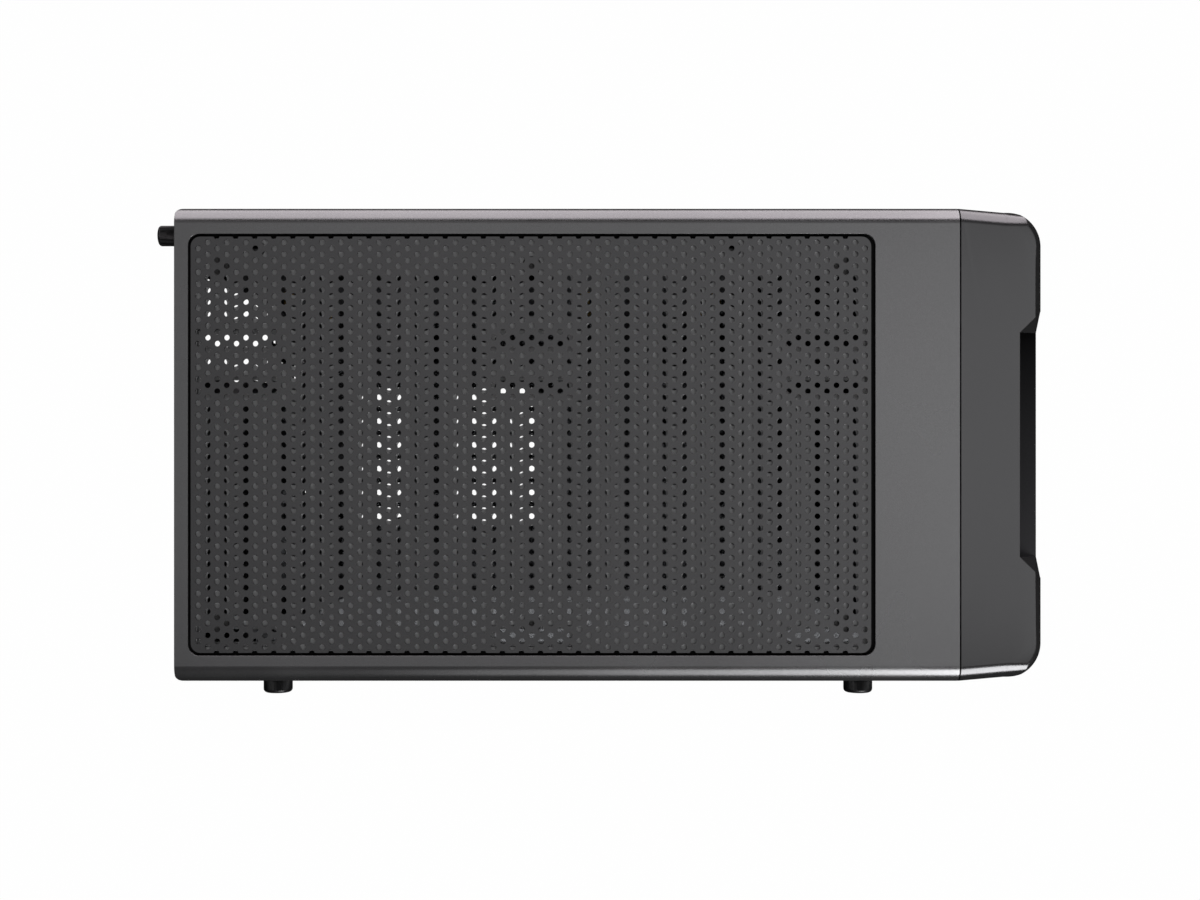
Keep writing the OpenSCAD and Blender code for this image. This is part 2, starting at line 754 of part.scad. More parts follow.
module front_bezel() at_case() color("#58585a") {
    difference() {
        intersection() {
            plate_z(bezel_z0, case_h - bezel_z0) bezel_plan(0);
            plate_x(xl, case_w) bezel_side();
        }
        difference() {
            plate_z(bezel_z0 - cut, case_h - bezel_wall - bezel_z0 + cut) bezel_plan(bezel_wall);
            box(-grille_w / 2 - recess_flare - notch_wall, yf, grille_z1 - ledge_t,
                grille_w / 2 + recess_flare + notch_wall, yf + notch_d + notch_wall, case_h);
        }
        plate_z(grille_z1 - ledge_t, notch_drop + ledge_t + cut) flared_plan(notch_d, cut);
        box(-grille_w / 2, yf - cut, grille_z0, grille_w / 2, yf + bezel_wall + cut, grille_z1);
        plate_z(grille_z0 - recess_flare, grille_z1 - grille_z0 + recess_flare)
            flared_plan(recess_depth, cut);
        plate_y(yf - cut, bezel_wall + 2 * cut) {
            translate([control_x, power_z]) circle(d = power_d + 2 * slip_gap);
            translate([control_x, reset_z]) circle(d = reset_d + 2 * slip_gap);
            at_controls(usb_zs) square([usb_w, usb_h], center = true);
            at_controls(audio_zs) circle(d = audio_d + 2 * trim_fit);
            at_controls(led_zs) circle(d = led_d + 2 * trim_fit);
        }
    }
    for (s = [-1, 1]) {
        x = s * (front_filter_w / 2 + slip_gap + rib_t / 2);
        box(x - rib_t / 2, yf + bezel_wall, front_filter_z0,
            x + rib_t / 2, yf + bezel_wall + rib_d, front_filter_z1);
    }
}

// Six pins that plug the bezel into the front frame: a wide foot, a shoulder and a blunt nose
module bezel_clips() at_case() color("#4c4c4e") for (s = [-1, 1], z = clip_z)
    translate([s * clip_x, 0, front_fan_z + z]) plate_x(-clip_w / 2 + clip_fit, clip_w - 2 * clip_fit) {
        h = clip_h / 2 - clip_fit;
        polygon([[yf + bezel_wall, -clip_h], [yf + bezel_wall + clip_l, -h], [in_y0 + clip_l - h / 2, -h],
            [in_y0 + clip_l, -h / 2], [in_y0 + clip_l, h / 2], [in_y0 + clip_l - h / 2, h],
            [yf + bezel_wall + clip_l, h], [yf + bezel_wall, clip_h]]);
    }

// Dark slotted panel in the middle of the front, with the ledge that closes the notch

grille_slot_l = 38;
grille_slot_h = 4;
grille_slot_pitch = 8;
grille_slot_margin = 14;

module front_grille() at_case() color("#161618") {
    rows = floor((grille_z1 - grille_z0 - 2 * grille_slot_margin) / grille_slot_pitch);
    plate_y(yf + recess_depth, grille_t) difference() {
        span(-grille_w / 2, grille_z0, grille_w / 2, grille_z1 - ledge_t);
        for (s = [-1, 1], k = [0:rows])
            translate([s * grille_w / 4, grille_z0 + grille_slot_margin + k * grille_slot_pitch])
                slot(grille_slot_l, grille_slot_h);
    }
    plate_z(grille_z1 - ledge_t, ledge_t) flared_plan(notch_d, 0);
}

// Nylon dust filter behind the slotted panel

front_filter_frame = 6;
front_filter_mesh_t = 0.8;
front_filter_y = yf + recess_depth + grille_t + slip_gap;
mesh_y = front_filter_y + front_filter_t - front_filter_mesh_t;

module front_filter() at_case() color("#1f1f21") {
    plate_y(front_filter_y, front_filter_t) difference() {
        span(-front_filter_w / 2, front_filter_z0, front_filter_w / 2, front_filter_z1);
        for (i = [0:2]) {
            step = (front_filter_z1 - front_filter_z0 - front_filter_frame) / 3;
            z = front_filter_z0 + front_filter_frame + i * step;
            span(-front_filter_w / 2 + front_filter_frame, z, front_filter_w / 2 - front_filter_frame,
                z + step - front_filter_frame);
        }
    }
    plate_y(mesh_y, front_filter_mesh_t)
        span(-front_filter_w / 2 + front_filter_frame / 2, front_filter_z0 + front_filter_frame / 2,
            front_filter_w / 2 - front_filter_frame / 2, front_filter_z1 - front_filter_frame / 2);
}

// Control board behind the front, carried by the sockets

board_t = 1.6;
board_w = 16;
socket_l = 12;
control_y = yf + bezel_wall + socket_l;
stem_d = 5;
reset_stem_d = 3;
switch_hole_fit = 0.5;

module control_board() at_case() color("#1f3a2c") plate_y(control_y, board_t) difference() {
    span(control_x - board_w / 2, audio_zs[1] - board_w / 2, control_x + board_w / 2, power_z + board_w / 2);
    translate([control_x, power_z]) circle(d = stem_d + 2 * switch_hole_fit);
    translate([control_x, reset_z]) circle(d = reset_stem_d + 2 * switch_hole_fit);
}

usb_shell_t = 0.5;
usb_tongue_w = 2;
usb_tongue_h = 10.6;
usb_face_set = 0.4;

module usb_ports() at_case() color("#8f9296") {
    plate_y(yf + usb_face_set, control_y - yf - usb_face_set) at_controls(usb_zs) difference() {
        square([usb_w, usb_h], center = true);
        square([usb_w - 2 * usb_shell_t, usb_h - 2 * usb_shell_t], center = true);
    }
    plate_y(control_y - usb_shell_t, usb_shell_t) at_controls(usb_zs) square([usb_w, usb_h], center = true);
    plate_y(yf + 2 * usb_face_set, control_y - yf - 2 * usb_face_set) at_controls(usb_zs)
        translate([-usb_w / 2 + usb_shell_t + usb_tongue_w / 2, 0])
            square([usb_tongue_w, usb_tongue_h], center = true);
}

jack_bore_d = 3.6;

module audio_jacks() at_case() color("#111112") plate_y(yf + usb_face_set, control_y - yf - usb_face_set)
    at_controls(audio_zs) difference() {
        circle(d = audio_d);
        circle(d = jack_bore_d);
    }

module led_lenses() at_case() color("#dfe6ea")
    plate_y(yf + usb_face_set / 2, control_y - yf - usb_face_set / 2) at_controls(led_zs) circle(d = led_d);

// Push buttons: a cap in the bezel, a collar behind it and a stem through the board

button_collar = 1.2;
button_collar_t = 1.5;

module button(d, z, stem) at_case() translate([control_x, yf - button_cap_out, z]) rotate([-90, 0, 0]) {
    cap_l = button_cap_out + bezel_wall + slip_gap;
    cylinder(d = d, h = cap_l);
    translate([0, 0, cap_l]) cylinder(d = d + 2 * button_collar, h = button_collar_t);
    cylinder(d = stem, h = control_y + board_t + seat_gap - button_travel - yf + button_cap_out);
}
module power_button() color("#3b3b3d") button(power_d, power_z, stem_d);
module reset_button() color("#3b3b3d") button(reset_d, reset_z, reset_stem_d);

// Glass side with its thumbscrews, rubber washers and the nuts in the chassis rails

glass_r = 5;
bolt_inset_y = 39.2;
bolt_inset_z = 8.5;
glass_y0 = ch_y0 + hem_gap;
glass_y1 = yr - hem_gap;
glass_hole_d = 6.6;
glass_shank_d = 4;
rail_hole_d = 5;
nut_d = 8;
nut_bore_d = 4.4;
shank_l = 11;
knob_edge_r = 1.6;
washer_d = 14;

module at_bolts() for (y = [glass_y0 + bolt_inset_y, glass_y1 - bolt_inset_y],
    z = [side_z0 + bolt_inset_z, side_z1 - bolt_inset_z]) translate([y, z]) children();

module glass_bolts(x, d, l) plate_x(x, l) at_bolts() circle(d = d);

module glass_pane() at_case() color("#30343a", 0.5) plate_x(xl, glass_t) difference() {
    translate([(glass_y0 + glass_y1) / 2, (side_z0 + side_z1) / 2])
        rounded(glass_y1 - glass_y0, side_z1 - side_z0, glass_r);
    at_bolts() circle(d = glass_hole_d);
}

// A domed knob with a threaded shank, drawn as a turned profile
module thumb_knob(d, l, edge, shank, reach) rotate_extrude() {
    span(0, 0, d / 2, l - edge);
    span(0, 0, d / 2 - edge, l);
    intersection() {
        translate([d / 2 - edge, l - edge]) circle(edge);
        span(0, l - edge, d / 2, l);
    }
    span(0, -reach, shank / 2, 0);
}

module glass_screws() at_case() color("#141415") at_glass_bolts(xl)
    thumb_knob(knob_d, knob_l, knob_edge_r, glass_shank_d, shank_l);

module at_glass_bolts(x) for (y = [glass_y0 + bolt_inset_y, glass_y1 - bolt_inset_y],
    z = [side_z0 + bolt_inset_z, side_z1 - bolt_inset_z]) translate([x, y, z]) rotate([0, -90, 0]) children();

module glass_washers() at_case() color("#101011") plate_x(xl + glass_t, washer_t) at_bolts() difference() {
    circle(d = washer_d);
    circle(d = glass_hole_d);
}

module glass_nuts() at_case() color("#a8abad") plate_x(ch_l + sheet_t, nut_l) at_bolts() difference() {
    circle(d = nut_d);
    circle(d = nut_bore_d);
}

// Steel side panel: a shallow tray whose rear edge folds over the rear panel

panel_lip_w = 15;
hem_d = side_room - seat_gap;

module side_panel() at_case() color("#4b4b4e") difference() {
    union() {
        difference() {
            box(xr - hem_d, ch_y0, side_z0, xr, yr, side_z1);
            box(xr - hem_d - cut, ch_y0 + panel_t, side_z0 + panel_t,
                xr - panel_t, yr - panel_t, side_z1 - panel_t);
        }
        box(xr - panel_lip_w, yr - panel_t, side_z0, xr, yr, side_z1);
    }
    for (z = thumb_z) translate([thumb_x, yr + cut, z]) rotate([90, 0, 0])
        cylinder(d = thumb_hole_d, h = 2 * cut);
}

thumb_edge_r = 1.2;
thumb_reach = 7;

module side_panel_screws() at_case() color("#141415") for (z = thumb_z) translate([thumb_x, yr, z])
    rotate([-90, 0, 0]) thumb_knob(thumb_d, thumb_l, thumb_edge_r, thumb_shank_d, thumb_reach);

// Rear fan: frame with four struts and a bearing tube

fan_corner_r = 6;
fan_flange_t = 4;
fan_rim_margin = 0.5;
fan_rim_d = fan_w - 2 * fan_rim_margin;
motor_d = 40;
motor_t = 3.5;
strut_w = 5;
strut_t = 3.5;
strut_turn = 20;
bearing_d = 8;
bearing_l = 14;
shaft_d = 3;
shaft_fit = 0.15;
fan_y1 = in_y1;
fan_y0 = in_y1 - fan_t;

module fan_tube(d) translate([fan_x, fan_z]) circle(d = d, $fn = 96);

module rear_fan_frame() at_case() color("#1d1d1f") {
    for (y = [fan_y0, fan_y1 - fan_flange_t]) plate_y(y, fan_flange_t) difference() {
        translate([fan_x, fan_z]) rounded(fan_w, fan_w, fan_corner_r);
        fan_tube(fan_bore_d);
        translate([fan_x, fan_z]) four(fan_pitch, fan_pitch) circle(d = fan_hole_d);
    }
    plate_y(fan_y0 + fan_flange_t, fan_t - 2 * fan_flange_t) difference() {
        fan_tube(fan_rim_d);
        fan_tube(fan_bore_d);
    }
    plate_y(fan_y1 - motor_t, motor_t) difference() {
        fan_tube(motor_d);
        fan_tube(shaft_d + 2 * shaft_fit);
    }
    plate_y(fan_y1 - strut_t, strut_t) difference() {
        translate([fan_x, fan_z]) for (a = [0:90:270]) rotate(a + strut_turn)
            span(0, -strut_w / 2, (fan_rim_d + fan_bore_d) / 4, strut_w / 2);
        fan_tube(motor_d);
    }
    plate_y(fan_y1 - motor_t - bearing_l, bearing_l) difference() {
        fan_tube(bearing_d);
        fan_tube(shaft_d + 2 * shaft_fit);
    }
}

fan_screw_d = 4;
fan_screw_l = 10;
fan_head_d = 8;
fan_head_t = 2.4;

module rear_fan_screws() at_case() color("#1a1a1b") translate([fan_x, ch_y1, fan_z]) rotate([-90, 0, 0])
    four(fan_pitch, fan_pitch) {
        translate([0, 0, -fan_screw_l]) cylinder(d = fan_screw_d, h = fan_screw_l);
        cylinder(d1 = fan_head_d, d2 = fan_head_d / 2, h = fan_head_t);
    }

// Rotor: a cup over the bearing, its shaft and curved blades

hub_d = 42;
hub_wall = 2;
rotor_gap = 1.2;
hub_l = fan_t - motor_t - 2 * rotor_gap;
blade_tip_gap = 1.2;
blade_t = 1.6;
blade_l = hub_l - rotor_gap;
blade_twist = 26;
blade_bow = 58;

// A blade is an arc from the hub to the tip, twisted along the axis
module blade() linear_extrude(blade_l, twist = -blade_twist, slices = 4) intersection() {
    translate([0, blade_bow]) difference() {
        circle(blade_bow + blade_t / 2);
        circle(blade_bow - blade_t / 2);
    }
    difference() {
        span(0, -blade_t, fan_bore_d, fan_bore_d);
        circle(d = hub_d - hub_wall);
    }
    circle(d = fan_bore_d - 2 * blade_tip_gap);
}

module rear_fan_rotor() at_case() color("#2a2a2d") translate([fan_x, fan_y0 + rotor_gap, fan_z])
    rotate([-90, 0, 0]) {
        rotate_extrude() {
            span(0, 0, hub_d / 2, hub_wall);
            span(hub_d / 2 - hub_wall, 0, hub_d / 2, hub_l);
            span(0, 0, shaft_d / 2, hub_l + rotor_gap + motor_t / 2);
        }
        for (i = [0:blade_count - 1]) rotate(i * 360 / blade_count) blade();
    }

top_cover();
top_panel();
rear_panel();
bottom_pan();
motherboard_tray();
front_frame();
psu_shroud();
drive_cage();
drive_tray_lower();
drive_tray_upper();
ssd_bracket_lower();
ssd_bracket_upper();
standoffs();
cable_grommets();
glass_nuts();
psu_pads();
feet();
foot_pads();
slot_cover(0);  // slot_cover_1
slot_cover(1);  // slot_cover_2
slot_cover(2);  // slot_cover_3
slot_cover(3);  // slot_cover_4
slot_cover(4);  // slot_cover_5
slot_cover(5);  // slot_cover_6
slot_cover(6);  // slot_cover_7
slot_screws();
rear_fan_frame();
rear_fan_screws();
rear_fan_rotor();
top_filter();
filter_magnets();
front_bezel();
bezel_clips();
front_grille();
front_filter();
control_board();
usb_ports();
audio_jacks();
led_lenses();
power_button();
reset_button();
glass_pane();
glass_screws();
glass_washers();
side_panel();
side_panel_screws();
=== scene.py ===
# Looks of a mid tower computer case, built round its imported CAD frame. Lengths are in metres.
import json
import math

import bmesh
import bpy
from mathutils import Matrix, Vector
from mathutils.geometry import delaunay_2d_cdt


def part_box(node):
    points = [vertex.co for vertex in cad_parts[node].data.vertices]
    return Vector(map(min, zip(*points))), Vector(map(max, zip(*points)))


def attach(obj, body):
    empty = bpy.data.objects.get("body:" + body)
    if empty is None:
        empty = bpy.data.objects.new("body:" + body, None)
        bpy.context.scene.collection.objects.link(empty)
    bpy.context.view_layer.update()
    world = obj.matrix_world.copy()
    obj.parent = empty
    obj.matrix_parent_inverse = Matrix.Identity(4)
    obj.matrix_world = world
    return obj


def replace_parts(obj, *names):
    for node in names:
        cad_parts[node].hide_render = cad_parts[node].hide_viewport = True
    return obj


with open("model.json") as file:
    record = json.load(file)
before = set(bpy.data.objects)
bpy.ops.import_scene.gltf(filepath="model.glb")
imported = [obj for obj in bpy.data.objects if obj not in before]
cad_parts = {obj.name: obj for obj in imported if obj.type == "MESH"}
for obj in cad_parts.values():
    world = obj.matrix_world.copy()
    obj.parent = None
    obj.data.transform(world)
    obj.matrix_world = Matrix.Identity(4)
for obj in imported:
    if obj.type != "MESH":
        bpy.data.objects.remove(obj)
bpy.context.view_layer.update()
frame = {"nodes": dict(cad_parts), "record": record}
MM = 0.001

# Places that the frame gives
COVER_LOW, COVER_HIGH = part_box("top_cover")
FILTER_LOW, FILTER_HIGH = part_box("top_filter")
DECK_LOW, DECK_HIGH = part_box("top_panel")
MIDDLE_X = (COVER_LOW.x + COVER_HIGH.x) / 2
FILTER_Y = (FILTER_LOW.y + FILTER_HIGH.y) / 2
TOP_Z = COVER_HIGH.z

# Camera: straight above the case, the front to the right of the picture
CAMERA_HEIGHT = 0.6997
CAMERA_X = -2.2 * MM
CAMERA_Y = -28.7 * MM
LENS = 50.0
SENSOR = 36.0


def make_camera():
    data = bpy.data.cameras.new("camera")
    data.lens = LENS
    data.sensor_width = SENSOR
    data.dof.use_dof = False
    camera = bpy.data.objects.new("camera", data)
    bpy.context.scene.collection.objects.link(camera)
    right, up, back = Vector((0, -1, 0)), Vector((1, 0, 0)), Vector((0, 0, 1))
    turn = Matrix((right, up, back)).transposed().to_4x4()
    place = Vector((MIDDLE_X + CAMERA_X, FILTER_Y + CAMERA_Y, TOP_Z + CAMERA_HEIGHT))
    camera.matrix_world = Matrix.Translation(place) @ turn
    bpy.context.scene.camera = camera


# Node helpers
def grey(code):
    """The linear value of a display grey from 0 to 255."""
    c = code / 255
    return ((c + 0.055) / 1.055) ** 2.4 if c > 0.04 else c / 12.92


def rgb(r, g, b):
    return (grey(r), grey(g), grey(b), 1.0)


def new_material(name):
    mat = bpy.data.materials.new(name)
    mat.use_nodes = True
    tree = mat.node_tree
    return mat, tree, tree.nodes["Principled BSDF"]


def coords(tree):
    return tree.nodes.new("ShaderNodeTexCoord").outputs["Object"]


def split(tree, vector):
    """The three parts of a vector."""
    node = tree.nodes.new("ShaderNodeSeparateXYZ")
    tree.links.new(vector, node.inputs[0])
    return node.outputs


def noise(tree, vector, size, detail=3.0, rough=0.5):
    """Noise whose features are about `size` metres wide."""
    node = tree.nodes.new("ShaderNodeTexNoise")
    node.inputs["Scale"].default_value = 1.0 / size
    node.inputs["Detail"].default_value = detail
    node.inputs["Roughness"].default_value = rough
    tree.links.new(vector, node.inputs["Vector"])
    return node.outputs["Fac"]


def ranged(tree, value, low, high, from_low=0.0, from_high=1.0):
    node = tree.nodes.new("ShaderNodeMapRange")
    for socket, number in zip(node.inputs[1:5], (from_low, from_high, low, high)):
        socket.default_value = number
    tree.links.new(value, node.inputs[0])
    return node.outputs[0]


def maths(tree, operation, a, b=None):
    node = tree.nodes.new("ShaderNodeMath")
    node.operation = operation
    for socket, value in zip(node.inputs, (a, b)):
        if value is None:
            continue
        if isinstance(value, (int, float)):
            socket.default_value = value
        else:
            tree.links.new(value, socket)
    return node.outputs[0]


def scaled_colour(tree, colour, factor):
    node = tree.nodes.new("ShaderNodeVectorMath")
    node.operation = "SCALE"
    node.inputs[0].default_value = colour[:3]
    tree.links.new(factor, node.inputs["Scale"])
    return node.outputs[0]


# The values that noise mostly keeps to, and the slow changes of tone
NOISE_SPAN = (0.3, 0.7)
CLOUD = 0.05
CLOUD_SIZE = 60 * MM
EDGE_SAMPLES = 4


def bumped(tree, shader, height, distance, edge=0.0):
    """Relief from a height, and light on edges as if they had a small radius."""
    bump = tree.nodes.new("ShaderNodeBump")
    bump.inputs["Distance"].default_value = distance
    bump.inputs["Strength"].default_value = 1.0
    tree.links.new(height, bump.inputs["Height"])
    if edge:
        bevel = tree.nodes.new("ShaderNodeBevel")
        bevel.samples = EDGE_SAMPLES
        bevel.inputs["Radius"].default_value = edge
        tree.links.new(bevel.outputs[0], bump.inputs["Normal"])
    tree.links.new(bump.outputs[0], shader.inputs["Normal"])


def surface(name, colour, rough, grain, speckle, bump, metal=0.0, rough_spread=0.05, edge=0.0, **sockets):
    """A finish with fine grain in its colour and relief, and slow changes of tone and gloss."""
    mat, tree, shader = new_material(name)
    at = coords(tree)
    fine = noise(tree, at, grain, 2.0, 0.6)
    slow = noise(tree, at, CLOUD_SIZE, 3.0)
    tone = maths(tree, "MULTIPLY", ranged(tree, fine, 1 - speckle, 1 + speckle, *NOISE_SPAN),
                 ranged(tree, slow, 1 - CLOUD, 1 + CLOUD, *NOISE_SPAN))
    gloss = ranged(tree, slow, rough - rough_spread, rough + rough_spread, *NOISE_SPAN)
    tree.links.new(scaled_colour(tree, colour, tone), shader.inputs["Base Color"])
    tree.links.new(gloss, shader.inputs["Roughness"])
    shader.inputs["Metallic"].default_value = metal
    for key, value in sockets.items():
        shader.inputs[key.replace("_", " ")].default_value = value
    bumped(tree, shader, fine, bump, edge)
    return mat


# Net of the dust filter behind the centre panel
NET_PITCH = 0.8 * MM
NET_DEPTH = 0.2 * MM
NET_ROUGH = 0.7
NET_TONES = (0.35, 1.2)


def woven(name, colour):
    """A fine woven net: two crossing sets of threads."""
    mat, tree, shader = new_material(name)
    at = split(tree, coords(tree))
    waves = []
    for axis in (0, 2):
        angle = maths(tree, "MULTIPLY", at[axis], 2 * math.pi / NET_PITCH)
        waves.append(ranged(tree, maths(tree, "SINE", angle), 0.0, 1.0, -1.0, 1.0))
    height = maths(tree, "MAXIMUM", waves[0], waves[1])
    tree.links.new(scaled_colour(tree, colour, ranged(tree, height, *NET_TONES)), shader.inputs["Base Color"])
    shader.inputs["Roughness"].default_value = NET_ROUGH
    bumped(tree, shader, height, NET_DEPTH)
    return mat


# Lines of bare metal
BRUSH_LINE = 0.15 * MM
BRUSH_STRETCH = 14.0
BRUSH_DEPTH = 0.01 * MM
BRUSH_TONES = (0.85, 1.1)
BRUSH_SMOOTHER = 0.08
BRUSH_ROUGHER = 0.12


def brushed(name, colour, rough, axis):
    """Metal with fine lines along one axis."""
    mat, tree, shader = new_material(name)
    mapping = tree.nodes.new("ShaderNodeMapping")
    mapping.inputs["Scale"].default_value = [1 / BRUSH_STRETCH if k == axis else 1.0 for k in range(3)]
    tree.links.new(coords(tree), mapping.inputs["Vector"])
    lines = noise(tree, mapping.outputs[0], BRUSH_LINE, 4.0)
    tone = ranged(tree, lines, *BRUSH_TONES)
    gloss = ranged(tree, lines, rough - BRUSH_SMOOTHER, rough + BRUSH_ROUGHER)
    tree.links.new(scaled_colour(tree, colour, tone), shader.inputs["Base Color"])
    tree.links.new(gloss, shader.inputs["Roughness"])
    shader.inputs["Metallic"].default_value = 1.0
    bumped(tree, shader, lines, BRUSH_DEPTH)
    return mat


# Glass side
GLASS_TINT = (0.42, 0.43, 0.45)
GLASS_BORDER = 15 * MM
BORDER_FADE = 0.3 * MM
BORDER_WOBBLE = 0.15 * MM
BORDER_GRAIN = 0.8 * MM
BORDER_TONE = 0.02
GLASS_FILM = 90 * MM
FILM_SPAN = (0.4, 0.8)
FILM_ROUGH = 0.035
GLASS_IOR = 1.5


def tinted_glass(name):
    """Smoked tempered glass with a black printed border on its edges."""
    mat, tree, shader = new_material(name)
    low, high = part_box("glass_pane")
    at = split(tree, coords(tree))
    gaps = []
    for axis in (1, 2):
        gaps.append(maths(tree, "SUBTRACT", at[axis], low[axis]))
        gaps.append(maths(tree, "SUBTRACT", high[axis], at[axis]))
    nearest = gaps[0]
    for gap in gaps[1:]:
        nearest = maths(tree, "MINIMUM", nearest, gap)
    wobble = maths(tree, "MULTIPLY", noise(tree, coords(tree), BORDER_GRAIN), BORDER_WOBBLE)
    inward = maths(tree, "ADD", nearest, wobble)
    clear = ranged(tree, inward, 0.0, 1.0, GLASS_BORDER, GLASS_BORDER + BORDER_FADE)
    film = noise(tree, coords(tree), GLASS_FILM, 4.0)
    tint = scaled_colour(tree, GLASS_TINT, ranged(tree, clear, BORDER_TONE, 1.0))
    tree.links.new(clear, shader.inputs["Transmission Weight"])
    tree.links.new(tint, shader.inputs["Base Color"])
    tree.links.new(ranged(tree, film, 0.0, FILM_ROUGH, *FILM_SPAN), shader.inputs["Roughness"])
    shader.inputs["IOR"].default_value = GLASS_IOR
    return mat


def rescale_colour(mat, factor):
    """Multiplies a finish's colour by a value."""
    tree = mat.node_tree
    base = tree.nodes["Principled BSDF"].inputs["Base Color"]
    node = tree.nodes.new("ShaderNodeVectorMath")
    node.operation = "SCALE"
    tree.links.new(base.links[0].from_socket, node.inputs[0])
    tree.links.new(factor, node.inputs["Scale"])
    tree.links.new(node.outputs[0], base)


# How far up a face may point and still count as upright, and from where it counts as level
FACE_UPRIGHT = 0.3
FACE_LEVEL = 0.7


def darken_sides(mat, sides):
    """Darkens upright faces, which get little light at the bottom of a narrow gap."""
    tree = mat.node_tree
    normal = split(tree, tree.nodes.new("ShaderNodeNewGeometry").outputs["True Normal"])
    up = maths(tree, "ABSOLUTE", normal[2])
    rescale_colour(mat, ranged(tree, up, sides, 1.0, FACE_UPRIGHT, FACE_LEVEL))


def paint_light_across(mat, glass_side, steel_side, reach):
    """Painted light and shade: scales a finish's colour from lighter on the glass side to darker on the steel
    side, as the lamps fall on it.
    """
    tree = mat.node_tree
    rescale_colour(mat, ranged(tree, split(tree, coords(tree))[0], glass_side, steel_side, -reach, reach))


# Finishes; a name that starts with a capital is one of the shader's own sockets
FINISHES = {
    "cover_paint": dict(colour=rgb(0x5e, 0x5e, 0x5f), rough=0.26, metal=0.9, grain=0.35 * MM, speckle=0.12,
                        bump=0.01 * MM, rough_spread=0.03, edge=0.3 * MM),
    "chassis_paint": dict(colour=rgb(0x2c, 0x2c, 0x2e), rough=0.5, metal=0.1, grain=0.5 * MM, speckle=0.12,
                          bump=0.05 * MM),
    # Painted light: the deck's colour is raised far above its real dark paint, to make up for the shade that
    # the filter and its holes cast on it
    "vent_paint": dict(colour=rgb(0xb6, 0xb6, 0xb8), rough=0.5, grain=0.4 * MM, speckle=0.1, bump=0.04 * MM),
    "filter_sheet": dict(colour=rgb(0x45, 0x45, 0x46), rough=0.3, metal=0.85, grain=0.3 * MM, speckle=0.1,
                         bump=0.01 * MM),
    "bezel_plastic": dict(colour=rgb(0x43, 0x43, 0x44), rough=0.2, metal=0.85, grain=0.45 * MM, speckle=0.1,
                          bump=0.01 * MM, edge=0.3 * MM),
    "dark_plastic": dict(colour=rgb(0x1c, 0x1c, 0x1e), rough=0.4, grain=0.5 * MM, speckle=0.15,
                         bump=0.04 * MM, edge=0.2 * MM),
    "panel_plastic": dict(colour=rgb(0x1b, 0x1b, 0x1c), rough=0.35, grain=0.5 * MM, speckle=0.12,
                          bump=0.03 * MM, Specular_IOR_Level=0.01),
    "black_metal": dict(colour=rgb(0x1a, 0x1a, 0x1b), rough=0.32, metal=0.6, grain=0.25 * MM, speckle=0.2,
                        bump=0.01 * MM),
    "rubber": dict(colour=rgb(0x1e, 0x1e, 0x1e), rough=0.8, grain=0.8 * MM, speckle=0.2, bump=0.08 * MM),
    # Painted shade: near-black, matt finish of the strip that stands in for the shadow in the gap round the
    # filter
    "painted_gap_shade": dict(colour=rgb(0x0a, 0x0a, 0x0a), rough=0.9, grain=0.8 * MM, speckle=0.2, bump=0.05 * MM,
                   Specular_IOR_Level=0.0),
    "board_laminate": dict(colour=rgb(0x1c, 0x3c, 0x2a), rough=0.35, grain=0.6 * MM, speckle=0.2,
                           bump=0.02 * MM, Coat_Weight=0.4),
    "clear_lens": dict(colour=rgb(0xd8, 0xde, 0xe2), rough=0.25, grain=0.6 * MM, speckle=0.04,
                       bump=0.01 * MM, Transmission_Weight=0.4),
    "black_button": dict(colour=rgb(0x2c, 0x2c, 0x2e), rough=0.36, grain=0.4 * MM, speckle=0.1,
                         bump=0.03 * MM, edge=0.3 * MM),
}
VENT_SIDES = 0.04
FILTER_SIDES = 0.3
# Painted light on the centre panel: its colour is scaled up towards the glass side and down towards the steel
# side
PANEL_LIT_GLASS_SIDE = 1.7
PANEL_SHADED_STEEL_SIDE = 0.15
PANEL_LIGHT_REACH = 50 * MM


def make_materials():
    made = {name: surface(name, **values) for name, values in FINISHES.items()}
    darken_sides(made["vent_paint"], VENT_SIDES)
    darken_sides(made["filter_sheet"], FILTER_SIDES)
    # Painted light and shade across the centre panel
    paint_light_across(made["panel_plastic"], PANEL_LIT_GLASS_SIDE, PANEL_SHADED_STEEL_SIDE, PANEL_LIGHT_REACH)
    made["nylon_mesh"] = woven("nylon_mesh", rgb(0x30, 0x30, 0x31))
    made["zinc"] = brushed("zinc", rgb(0xc4, 0xc6, 0xc8), 0.3, 2)
    made["brass"] = brushed("brass", rgb(0xd2, 0xb0, 0x68), 0.28, 0)
    made["tinted_glass"] = tinted_glass("tinted_glass")
    return made


# Mesh helpers
CORNER_STEPS = 6


def circle(x, y, r, count, start=0.0, stop=2 * math.pi):
    """Points of a circle, or of an arc with both its ends."""
    steps = count if stop - start >= 2 * math.pi else count + 1
    angles = [start + (stop - start) * k / count for k in range(steps)]
    return [(x + r * math.cos(a), y + r * math.sin(a)) for a in angles]


def rectangle(x0, y0, x1, y1):
    return [(x0, y0), (x1, y0), (x1, y1), (x0, y1)]


def rounded(x, y, w, h, r):
    """A rectangle about (x, y) with round corners, counter-clockwise."""
    points = []
    for k, (sx, sy) in enumerate(((1, 1), (-1, 1), (-1, -1), (1, -1))):
        middle_x, middle_y = x + sx * (w / 2 - r), y + sy * (h / 2 - r)
        points += circle(middle_x, middle_y, r, CORNER_STEPS, k * math.pi / 2, (k + 1) * math.pi / 2)
    return points


def inside(point, loop):
    """Whether a point lies inside a closed outline."""
    x, y = point
    hit = False
    for (x0, y0), (x1, y1) in zip(loop, loop[1:] + loop[:1]):
        if (y0 > y) != (y1 > y) and x < (x1 - x0) * (y - y0) / (y1 - y0) + x0:
            hit = not hit
    return hit


